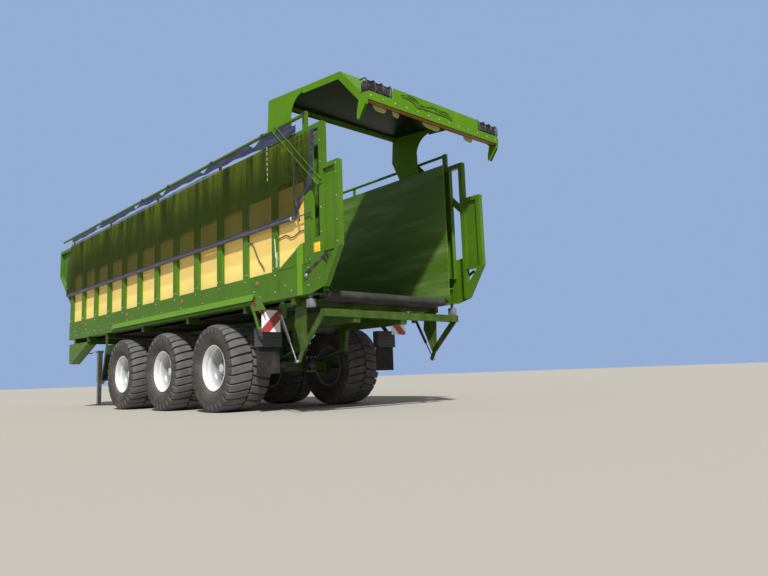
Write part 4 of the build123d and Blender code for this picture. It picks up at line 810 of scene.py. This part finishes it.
class TRAILER_OT_wheels(bpy.types.Operator):
    """Tyres with their lugs and deep-dished rims"""

    bl_idname = "trailer.wheels"
    bl_label = "Wheels"

    def execute(self, context):
        forms = (("tyre", tyre_mesh(sizes().lugs)), ("rim", rim_mesh()))
        for axle in AXLES:
            for side, hand in SIDES:
                low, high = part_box(f"tyre_{axle}_{side}")
                place = Matrix.Translation((low + high) / 2) @ Matrix.Diagonal((1.0, hand, 1.0, 1.0))
                for name, mesh in forms:
                    own = mesh.copy()
                    own.transform(place)
                    if hand < 0:
                        own.flip_normals()
                    made = piece(f"{name}_{axle}_{side}_form", own, name, f"wheel_{axle}_{side}")
                    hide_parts(f"{name}_{axle}_{side}")
        return {"FINISHED"}


# Bolts round each post, as (x from the post, z), and on the rear frames, as (x from their rear end, heights)
CHANNEL_BOLTS = ((-0.045, 1.99), (0.045, 1.99), (0.0, 1.885), (-0.24, 1.72), (0.0, 1.655))
BAY_BOLT_Z = 1.63
REAR_BOLTS = ((0.35, (2.15, 2.30, 2.62, 2.95, 3.22, 3.5)), (0.035, (2.13, 2.4, 2.7, 3.0, 3.12)))


class TRAILER_OT_bolts(bpy.types.Operator):
    """Bolt heads along the side channels, posts, rear frames and tailgate beam"""

    bl_idname = "trailer.bolts"
    bl_label = "Bolts"

    def on_sides(self, name, points):
        """Bolt heads on the left and right face of the body, at (x, z) points."""
        bm = bmesh.new()
        for x, z in points:
            for side, hand in SIDES:
                add_bolt(bm, (x, hand * POST_FACE, z), (0, hand, 0), sizes().bolt)
        solid(name, bm, "zinc")

    def execute(self, context):
        points = [(x + POST_PITCH / 2, BAY_BOLT_Z) for x in POSTS[:-1]]
        points += [(post + x, z) for post in POSTS for x, z in CHANNEL_BOLTS]
        self.on_sides("body_bolts", points)
        self.on_sides("rear_bolts", [(REAR_LOW.x + x, z) for x, row in REAR_BOLTS for z in row])

        bm = bmesh.new()
        span = BEAM_HIGH.y - 0.08
        for i in range(13):
            y = -span + 2 * span * i / 12
            add_bolt(bm, (BEAM_LOW.x, y, 3.875), (-1, 0, 0), sizes().bolt)
            add_bolt(bm, (BEAM_LOW.x + 0.055, y, BEAM_Z), (0, 0, -1), sizes().bolt * 0.8)
        solid("beam_bolts", bm, "zinc", "tailgate")
        return {"FINISHED"}


# Rear edge of the side cover, as (height, distance behind the cover's solid)
CLOTH_EDGE = (
    (2.595, -0.270), (2.642, -0.187), (2.751, -0.151), (2.845, -0.051), (2.946, 0.172), (3.116, 0.200),
    (3.646, 0.230), (3.720, 0.260),
)
CLOTH_TOP = 3.80
BAND_TOP = 3.93
# Clamps on the cover rail
CLAMPS = (-5.06, -4.03, -2.51, -0.92, 0.22, 2.29)
CLAMP_RING = ((0.027, -0.03), (0.034, -0.03), (0.034, 0.03), (0.027, 0.03))
RAIL_Y, RAIL_Z = 1.395, 3.975
# Caps and ring of the roll tube, as (share of its radius, height)
TUBE_CAP = ((0.98, -0.03), (1.0, 0.0), (0.8, 0.006), (0.3, 0.008))
TUBE_RING = ((0.99, -0.02), (1.04, -0.018), (1.04, 0.018), (0.99, 0.02))
TUBE_CAP_X = -4.85
TUBE_RING_X = -4.79


def table_value(table, key):
    """Value between the rows of a table of (key, value) pairs."""
    for (first, low), (second, high) in zip(table, table[1:]):
        if key <= second:
            share = max(0.0, (key - first) / (second - first))
            return low + (high - low) * share
    return table[-1][1]


class TRAILER_OT_cover(bpy.types.Operator):
    """Mesh side cover with its folded band, hems, clamps, strap and roll tube caps"""

    bl_idname = "trailer.cover"
    bl_label = "Side cover"

    def rear_edge(self, z):
        return COVER_LOW.x - table_value(CLOTH_EDGE, z)

    def share(self, z):
        """How far up the cover's solid a height is."""
        return (z - COVER_LOW.z) / (COVER_HIGH.z - COVER_LOW.z)

    def front_edge(self, z):
        share = self.share(z)
        return COVER_HIGH.x - 0.10 * share - 0.25 * max(0.0, share - 0.55) / 0.45 - 0.005

    def sag(self, x, z):
        """How far the cloth stands off the posts."""
        bay = math.sin((x - POSTS[0]) / POST_PITCH * math.pi)
        wave = 0.006 * math.sin(x * 2.3 + z * 1.7) + 0.004 * math.sin(x * 5.1 - z * 3.0)
        return 0.010 + wave - 0.004 * bay * bay + 0.010 * math.sin(math.pi * self.share(z))

    def cloth_top(self, x):
        """Upper edge of the mesh, which drops towards the rear."""
        drop = max(0.0, min(1.0, (-2.3 - x) / 3.0))
        return CLOTH_TOP - 0.11 * drop

    def band_low(self, x):
        return self.cloth_top(x) + 0.035 + 0.012 * math.sin(x * 3.3) + 0.008 * math.sin(x * 11.0)

    def band_high(self, x):
        """Upper edge of the band, notched in front of each clamp."""
        drop = max(math.exp(-((x - clamp - 0.19) / 0.10) ** 2) for clamp in CLAMPS)
        return BAND_TOP - 0.075 * drop

    def strip(self, name, finish, ends, heights, columns, rows, lift=0.0):
        """Cloth between two ends and two heights, each given as a function."""
        bm = bmesh.new()
        rear, front = ends
        low, high = heights
        grid = []
        for i in range(columns + 1):
            u = i / columns
            near = rear(COVER_HIGH.z) + (front(COVER_HIGH.z) - rear(COVER_HIGH.z)) * u
            line = []
            for k in range(rows + 1):
                z = low(near) + (high(near) - low(near)) * k / rows
                x = rear(z) + (front(z) - rear(z)) * u
                line.append(bm.verts.new((x, POST_FACE + self.sag(x, z) + lift, z)))
            grid.append(line)
        for first, second in zip(grid, grid[1:]):
            for k in range(rows):
                bm.faces.new((first[k], second[k], second[k + 1], first[k + 1]))
        mesh = bpy.data.meshes.new(name)
        bm.to_mesh(mesh)
        bm.free()
        mesh.shade_smooth()
        return piece(name, mesh, finish)

    def hem(self, name, edge, way, width):
        """Folded edge along one end of the cloth. The rear one is a little wider where the cloth turns in."""
        def outer(z):
            return edge(z) + way * 0.004

        def inner(z):
            widening = 0.05 * math.exp(-((z - 2.95) / 0.16) ** 2) if way < 0 else 0.0
            return outer(z) - way * (width + widening)

        ends = (outer, inner) if way < 0 else (inner, outer)
        return self.strip(name, "band", ends, (lambda x: COVER_LOW.z + 0.002, self.cloth_top), 3, 40, 0.004)

    def execute(self, context):
        cloth = self.strip("cover_cloth", "cloth", (self.rear_edge, self.front_edge),
                           (lambda x: COVER_LOW.z + 0.01, self.cloth_top), 220, 40)
        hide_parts("side_cover")
        band = self.strip("cover_band", "band", (lambda z: COVER_LOW.x + 0.15, self.front_edge),
                          (self.band_low, self.band_high), 260, 5, 0.004)
        rear_hem = self.hem("cover_rear_hem", self.rear_edge, -1, 0.075)
        front_hem = self.hem("cover_front_hem", self.front_edge, 1, 0.045)
        low_hem = self.strip("cover_low_hem", "band", (self.rear_edge, self.front_edge),
                             (lambda x: COVER_LOW.z + 0.004, lambda x: COVER_LOW.z + 0.045), 200, 2, 0.005)

        clamps = bmesh.new()
        for x in CLAMPS:
            add_lathe(clamps, CLAMP_RING, 16, facing((x, RAIL_Y, RAIL_Z), (1, 0, 0)))
            add_block(clamps, (x - 0.028, RAIL_Y - 0.02, RAIL_Z + 0.02), (x + 0.028, RAIL_Y + 0.03, RAIL_Z + 0.024))
            add_block(clamps, (x - 0.012, RAIL_Y + 0.026, RAIL_Z - 0.13), (x + 0.012, RAIL_Y + 0.032, RAIL_Z), 0.001)
        solid("rail_clamps", clamps, "black")

        strap = bmesh.new()
        for k in range(7):
            z = 3.74 - k * 0.075
            add_block(strap, (-4.23, POST_FACE + 0.034, z - 0.05), (-4.215, POST_FACE + 0.037, z), 0.001)
        solid("cover_strap", strap, "sleeve")

        middle = (TUBE_LOW + TUBE_HIGH) / 2
        radius = (TUBE_HIGH.z - TUBE_LOW.z) / 2
        caps = bmesh.new()
        for x, way in ((TUBE_CAP_X, -1), (TUBE_HIGH.x, 1)):
            place = facing((x - way * 0.008, middle.y, middle.z), (way, 0, 0))
            add_lathe(caps, [(radius * share, height) for share, height in TUBE_CAP], 20, place)
        solid("tube_caps", caps, "black")
        ring = bmesh.new()
        place = facing((TUBE_RING_X, middle.y, middle.z), (1, 0, 0))
        add_lathe(ring, [(radius * share, height) for share, height in TUBE_RING], 24, place)
        solid("tube_ring", ring, "white")
        return {"FINISHED"}


# Tail lamp housing: its section as (distance ahead of its back, share of its half height), and the sections along
# it as (distance from its inner end, share of their full height)
HOUSING_SECTION = (
    (0.018, -0.95), (0.012, -0.4), (0.012, 0.70), (0.034, 1.04), (0.095, 1.18), (0.132, 0.85), (0.138, 0.1),
    (0.112, -0.95),
)
LAMP_LENGTH = 0.38
HOUSING_STATIONS = ((0.0, 0.86), (0.03, 1.0), (LAMP_LENGTH - 0.03, 1.0), (LAMP_LENGTH, 0.84))
# Finish, inner end, outer end and half height of each lens
LENSES = (("dark_red", 0.235, 0.355, 0.060), ("dark_amber", 0.135, 0.215, 0.052), ("smoked", 0.035, 0.110, 0.048))
LAMP_ARM = ((0.050, 0.0), (0.046, 0.006), (0.028, 0.011), (0.022, 0.016), (0.018, 0.018))
SIDE_MARKER = ((0.036, 0.0), (0.036, 0.006), (0.030, 0.013), (0.014, 0.017))
SIDE_MARKER_X = (3.183, 0.841, -1.517, -3.871)
SIDE_MARKER_Z = 1.828
REFLECTOR_PLACE = (-3.818, 1.43, 1.549)
REFLECTOR = ((0.040, 0.0), (0.040, 0.008), (0.034, 0.014), (0.015, 0.018))


class TRAILER_OT_lamps(bpy.types.Operator):
    """Tail lamp clusters with their cages, side markers and rear reflectors"""

    bl_idname = "trailer.lamps"
    bl_label = "Lamps"

    def round(self, name, finish, profile, steps, place, body="chassis"):
        """One turned piece."""
        bm = bmesh.new()
        add_lathe(bm, profile, steps, place)
        solid(name, bm, finish, body)

    def cluster(self, side, hand):
        """One black housing with its lenses, a tubular cage and the short arm beside it."""
        outer = LAMP_HIGH.y
        inner = outer - LAMP_LENGTH
        low_z, high_z = LAMP_LOW.z, LAMP_HIGH.z
        middle_z = (low_z + high_z) / 2
        half_height = (high_z - low_z) / 2
        back_x = LAMP_LOW.x
        shell = bmesh.new()
        skin(shell, [[shell.verts.new((back_x + x, hand * (inner + y), middle_z + z * half_height * grow))
                      for x, z in HOUSING_SECTION] for y, grow in HOUSING_STATIONS])
        housing = solid(f"lamp_housing_{side}", shell, "black", "tailgate", 30.0)
        for key, start, stop, half in LENSES:
            reach = (stop - start) / 2
            dish = [(reach, 0.0), (reach, 0.006), (reach * 0.85, 0.011), (reach * 0.4, 0.014)]
            spot = (back_x + 0.016, hand * (inner + (start + stop) / 2), middle_z - 0.008)
            place = facing(spot, (-1, 0, 0)) @ Matrix.Diagonal((half / reach, 1.0, 1.0, 1.0))
            self.round(f"lamp_{key}_{side}", key, dish, 28, place, "tailgate")

        cage = bmesh.new()
        bar_x = back_x + 0.006
        route = ((back_x + 0.12, low_z - 0.006), (bar_x + 0.02, low_z - 0.008), (bar_x, low_z + 0.03),
                 (bar_x, high_z - 0.02), (bar_x + 0.03, high_z + 0.022), (back_x + 0.13, high_z + 0.024))
        for y in (inner - 0.02, inner + 0.125, inner + 0.26, outer + 0.02):
            add_pipe(cage, [(x, hand * y, z) for x, z in route], 0.010, 8)
        for z in (low_z + 0.03, high_z - 0.02):
            add_pipe(cage, [(bar_x, hand * y, z) for y in (inner - 0.02, outer + 0.02)], 0.006, 8)
        solid(f"lamp_cage_{side}", cage, "black", "tailgate")
        place = facing((back_x + 0.07, hand * (outer + 0.004), middle_z - 0.018), (0, hand * 0.93, -0.37))
        self.round(f"lamp_arm_{side}", "black", LAMP_ARM, 22, place, "tailgate")
        return housing

    def execute(self, context):
        housings = [self.cluster(side, hand) for side, hand in SIDES]
        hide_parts("tail_lamps")
        for side, hand in SIDES:
            for i, x in enumerate(SIDE_MARKER_X):
                place = facing((x, hand * POST_FACE, SIDE_MARKER_Z), (0, hand, 0))
                self.round(f"side_marker_{i}_{side}", "amber", SIDE_MARKER, 20, place)
            x, y, z = REFLECTOR_PLACE
            place = facing((x, hand * y, z), (0, hand, 0))
            self.round(f"rear_reflector_{side}", "red", REFLECTOR, 24, place)
        return {"FINISHED"}


SPRING_NUT = ((0.018, 0.0), (0.018, 0.016), (0.012, 0.018))
BRAKE_CHAMBER = (
    (0.020, -0.02), (0.075, 0.0), (0.082, 0.02), (0.082, 0.05), (0.088, 0.055), (0.088, 0.065), (0.082, 0.07),
    (0.080, 0.11), (0.055, 0.128), (0.02, 0.13),
)
AIR_TANK = ((0.05, -0.36), (0.115, -0.345), (0.145, -0.31), (0.15, -0.28), (0.15, 0.28), (0.145, 0.31),
            (0.115, 0.345), (0.05, 0.36))
AIR_TANK_X = (-3.36, 2.19)


class TRAILER_OT_underbody(bpy.types.Operator):
    """Spring clips, brake chambers and air tanks below the floor"""

    bl_idname = "trailer.underbody"
    bl_label = "Underbody"

    def execute(self, context):
        clips = bmesh.new()
        brakes = bmesh.new()
        z = (AXLE_LOW.z + AXLE_HIGH.z) / 2
        span = AXLE_HIGH.x - AXLE_LOW.x - 0.15
        for i in range(3):
            axle_x = AXLE_LOW.x + 0.075 + span * i / 2
            for side, hand in SIDES:
                for x in (axle_x - 0.055, axle_x + 0.055):
                    for y in (hand * 0.412, hand * 0.508):
                        add_pipe(clips, [(x, y, z - 0.095), (x, y, z + 0.165)], 0.010, 8)
                        add_lathe(clips, SPRING_NUT, 6, facing((x, y, z + 0.149), (0, 0, 1)))
                    add_pipe(clips, [(x, hand * 0.408, z - 0.090), (x, hand * 0.512, z - 0.090)], 0.010, 8)
                add_lathe(brakes, BRAKE_CHAMBER, 24, facing((axle_x - 0.16, hand * 0.30, z + 0.02), (-1, 0, 0)))
            add_pair(brakes, (axle_x - 0.145, 0.25, z - 0.05), (axle_x - 0.075, 0.35, z + 0.05), 0.006)
        solid("spring_clips", clips, "zinc")
        solid("brake_chambers", brakes, "enamel")
        tanks = bmesh.new()
        for x in AIR_TANK_X:
            add_lathe(tanks, AIR_TANK, 32, facing((x, 0.0, 1.33), (0, 1, 0)))
        solid("air_tanks", tanks, "enamel", sharp=50.0)
        return {"FINISHED"}


# Pale tabs below the tailgate's beam: (y, half width) of each, and their outline
BEAM_TABS = ((1.00, 0.11), (0.72, 0.06), (0.05, 0.17), (-0.72, 0.10))
TAB_OUTLINE = ((-1.0, 0.0), (-0.92, -0.045), (-0.6, -0.068), (0.5, -0.060), (0.86, -0.038), (1.0, 0.0))
# Pipes on the tailgate's beam as (y, z) points, and their holders
GATE_PIPES = (
    ((0.72, 4.020), (0.62, 4.050), (0.50, 4.052), (0.41, 4.020), (0.38, 3.965), (0.30, 3.948), (0.12, 3.952),
     (-0.10, 3.950), (-0.27, 3.944)),
    ((0.70, 4.000), (0.58, 4.030), (0.46, 4.018), (0.36, 3.985), (0.24, 3.990), (0.10, 4.010), (0.02, 3.985),
     (-0.16, 3.972), (-0.27, 3.965)),
    ((0.66, 4.045), (0.60, 4.012), (0.50, 3.985), (0.42, 3.940), (0.34, 3.935)),
    ((0.16, 4.030), (0.06, 4.020), (-0.04, 4.005), (-0.12, 4.015), (-0.20, 3.992)),
)
PIPE_HOLDERS = ((0.62, 4.035), (0.385, 3.975), (0.27, 3.968), (0.02, 3.970), (-0.24, 3.955))
# Lower and upper end of the slanting dark strips on the rear frames, which are painted shade along an opening's edge,
# as (x, z)
SHADE_STRIP_ENDS = (Vector((-5.01, 1.787)), Vector((-5.52, 2.018)))
SHADE_STRIP_Y = 1.4285
COVER_TIE = ((-4.852, 3.48), (-4.869, 3.154), (-4.882, 2.856), (-4.947, 2.671), (-4.985, 2.516))
WORK_LAMP = ((0.02, -0.05), (0.045, -0.04), (0.052, -0.01), (0.052, 0.0))
WORK_LENS = ((0.047, 0.0), (0.044, 0.010), (0.030, 0.017), (0.01, 0.02))
CRANK_GRIP = ((0.016, 0.0), (0.018, 0.02), (0.018, 0.09), (0.013, 0.10))


class TRAILER_OT_fittings(bpy.types.Operator):
    """Plates, dark strips of painted shade, boxes, work lamps, tailgate pipes, jack crank and other small parts"""

    bl_idname = "trailer.fittings"
    bl_label = "Small fittings"

    def tailgate_parts(self):
        """Brown strip and pale tabs below the beam, and the pipes on its back."""
        strip = bmesh.new()
        span = BEAM_HIGH.y - 0.06
        add_block(strip, (BEAM_LOW.x + 0.014, -span, BEAM_Z - 0.007), (BEAM_LOW.x + 0.082, span, BEAM_Z), 0.002)
        solid("beam_strip", strip, "rust", "tailgate")

        tabs = bmesh.new()
        for y, half in BEAM_TABS:
            skin(tabs, [[tabs.verts.new((x, y + half * u, BEAM_Z + v)) for u, v in TAB_OUTLINE]
                        for x in (BEAM_LOW.x + 0.100, BEAM_LOW.x + 0.108)])
        solid("beam_tabs", tabs, "pale", "tailgate")

        pipes = bmesh.new()
        x = BEAM_LOW.x - 0.0005
        for route in GATE_PIPES:
            add_pipe(pipes, bent([(x, y, z) for y, z in route], 5), 0.0115)
        for y, z in PIPE_HOLDERS:
            add_block(pipes, (x - 0.011, y - 0.013, z - 0.036), (x + 0.006, y + 0.013, z + 0.036), 0.002)
        solid("gate_pipes", pipes, "green", "tailgate", 180.0)

    def wall_parts(self):
        """Plates, dark strips of painted shade at a seam and along an opening, pins, socket boxes and caps on both
        walls, and what only the left one has.
        """
        # rubber holds dark strips of painted shade
        plates, rubber, pins, boxes, caps = (bmesh.new() for k in range(5))
        add_pair(plates, (-5.367, 1.4265, 2.056), (-5.237, 1.4305, 2.179), 0.001)
        # Painted shade: a thin upright dark strip stands for the shade in a seam's gap
        add_pair(rubber, (-4.430, 1.4196, 1.60), (-4.420, 1.4212, 1.83))
        add_pair(boxes, (-5.13, 1.33, 1.375), (-5.02, 1.41, 1.485), 0.008)
        add_pair(boxes, (-5.09, 1.35, 1.484), (-5.06, 1.39, 1.546), 0.003)
        front = POSTS[-1] + POST_WIDTH / 2
        add_pair(caps, (front - 0.014, 1.25, CHANNEL_LOW + 0.006), (front - 0.008, 1.418, CHANNEL_TOP - 0.006), 0.002)
        low_end, high_end = SHADE_STRIP_ENDS
        along = low_end - high_end
        half = along.length / 2
        turn = Matrix.Rotation(math.atan2(-along.y, along.x), 4, "Y")
        middle = (low_end + high_end) / 2
        for side, hand in SIDES:
            # Painted shade: slanting dark strips stand for the shade along an opening's edge
            place = Matrix.Translation((middle.x, hand * SHADE_STRIP_Y, middle.y)) @ turn
            add_block(rubber, (-half, -0.002, -0.024), (half, 0.002, 0.024), 0.0015, place)
            add_bolt(pins, (-5.07, hand * 1.431, 1.785), (0, hand, 0), 0.022)
            for z in (CHANNEL_LOW + 0.07, CHANNEL_TOP - 0.07):
                add_bolt(caps, (front - 0.008, hand * 1.335, z), (1, 0, 0), 0.012)
        solid("side_plates", plates, "plate")
        solid("shade_strips", rubber, "black")
        solid("pin_heads", pins, "zinc")
        solid("socket_boxes", boxes, "grey")
        solid("channel_caps", caps, "green")

        guard = bmesh.new()
        add_block(guard, (-4.398, 1.4203, 1.99), (-4.360, 1.4290, 2.20), 0.003)
        add_pipe(guard, [(-4.372, 1.431, 2.12), (-4.360, 1.431, 2.28), (-4.345, 1.431, 2.39)], 0.010)
        solid("hose_guard", guard, "sleeve")
        tie = bmesh.new()
        add_pipe(tie, bent([(x, 1.460, z) for x, z in COVER_TIE], 4), 0.0115, 8)
        solid("cover_tie", tie, "strap")

    def execute(self, context):
        self.wall_parts()
        self.tailgate_parts()

        lamp = bmesh.new()
        glass = bmesh.new()
        x = MARKER_LOW.x - 0.02
        for side, hand in SIDES:
            place = facing((x, hand * 1.14, 1.52), (-1, 0, 0))
            add_lathe(lamp, WORK_LAMP, 24, place)
            add_lathe(glass, WORK_LENS, 24, place)
        add_pair(lamp, (x + 0.03, 1.12, 1.44), (x + 0.05, 1.16, 1.54), 0.003)
        solid("work_lamps", lamp, "black")
        solid("work_lamp_glass", glass, "white")

        crank = bmesh.new()
        x, y, z = (JACK_LOW.x + JACK_HIGH.x) / 2, (JACK_LOW.y + JACK_HIGH.y) / 2, JACK_HIGH.z
        add_pipe(crank, [(x, y + 0.07, z - 0.03), (x, y + 0.13, z - 0.03), (x + 0.14, y + 0.135, z - 0.06),
                         (x + 0.14, y + 0.22, z - 0.06)], 0.010)
        add_lathe(crank, CRANK_GRIP, 16, facing((x + 0.14, y + 0.14, z - 0.06), (0, 1, 0)))
        solid("jack_crank", crank, "zinc")
        return {"FINISHED"}


class TRAILER_PT_panel(bpy.types.Panel):
    bl_label = "Push-off trailer"
    bl_idname = "TRAILER_PT_panel"
    bl_space_type = "VIEW_3D"
    bl_region_type = "UI"
    bl_category = "Trailer"

    def draw(self, context):
        layout = self.layout
        for group in (context.scene.trailer_sizes, context.scene.trailer_colours):
            for key in group.__annotations__:
                layout.prop(group, key)
        for step in STEPS:
            layout.operator(step.bl_idname)


STEPS = (
    TRAILER_OT_stage,
    TRAILER_OT_hoses,
    TRAILER_OT_finishes,
    TRAILER_OT_wheels,
    TRAILER_OT_bolts,
    TRAILER_OT_cover,
    TRAILER_OT_lamps,
    TRAILER_OT_underbody,
    TRAILER_OT_fittings,
)
CLASSES = (TrailerSizes, TrailerColours, *STEPS, TRAILER_PT_panel)


def register():
    for made in CLASSES:
        bpy.utils.register_class(made)
    bpy.types.Scene.trailer_sizes = bpy.props.PointerProperty(type=TrailerSizes)
    bpy.types.Scene.trailer_colours = bpy.props.PointerProperty(type=TrailerColours)


def unregister():
    del bpy.types.Scene.trailer_colours
    del bpy.types.Scene.trailer_sizes
    for made in reversed(CLASSES):
        bpy.utils.unregister_class(made)


def main():
    register()
    for step in STEPS:
        group, name = step.bl_idname.split(".")
        getattr(getattr(bpy.ops, group), name)()


if __name__ == "__main__":
    main()
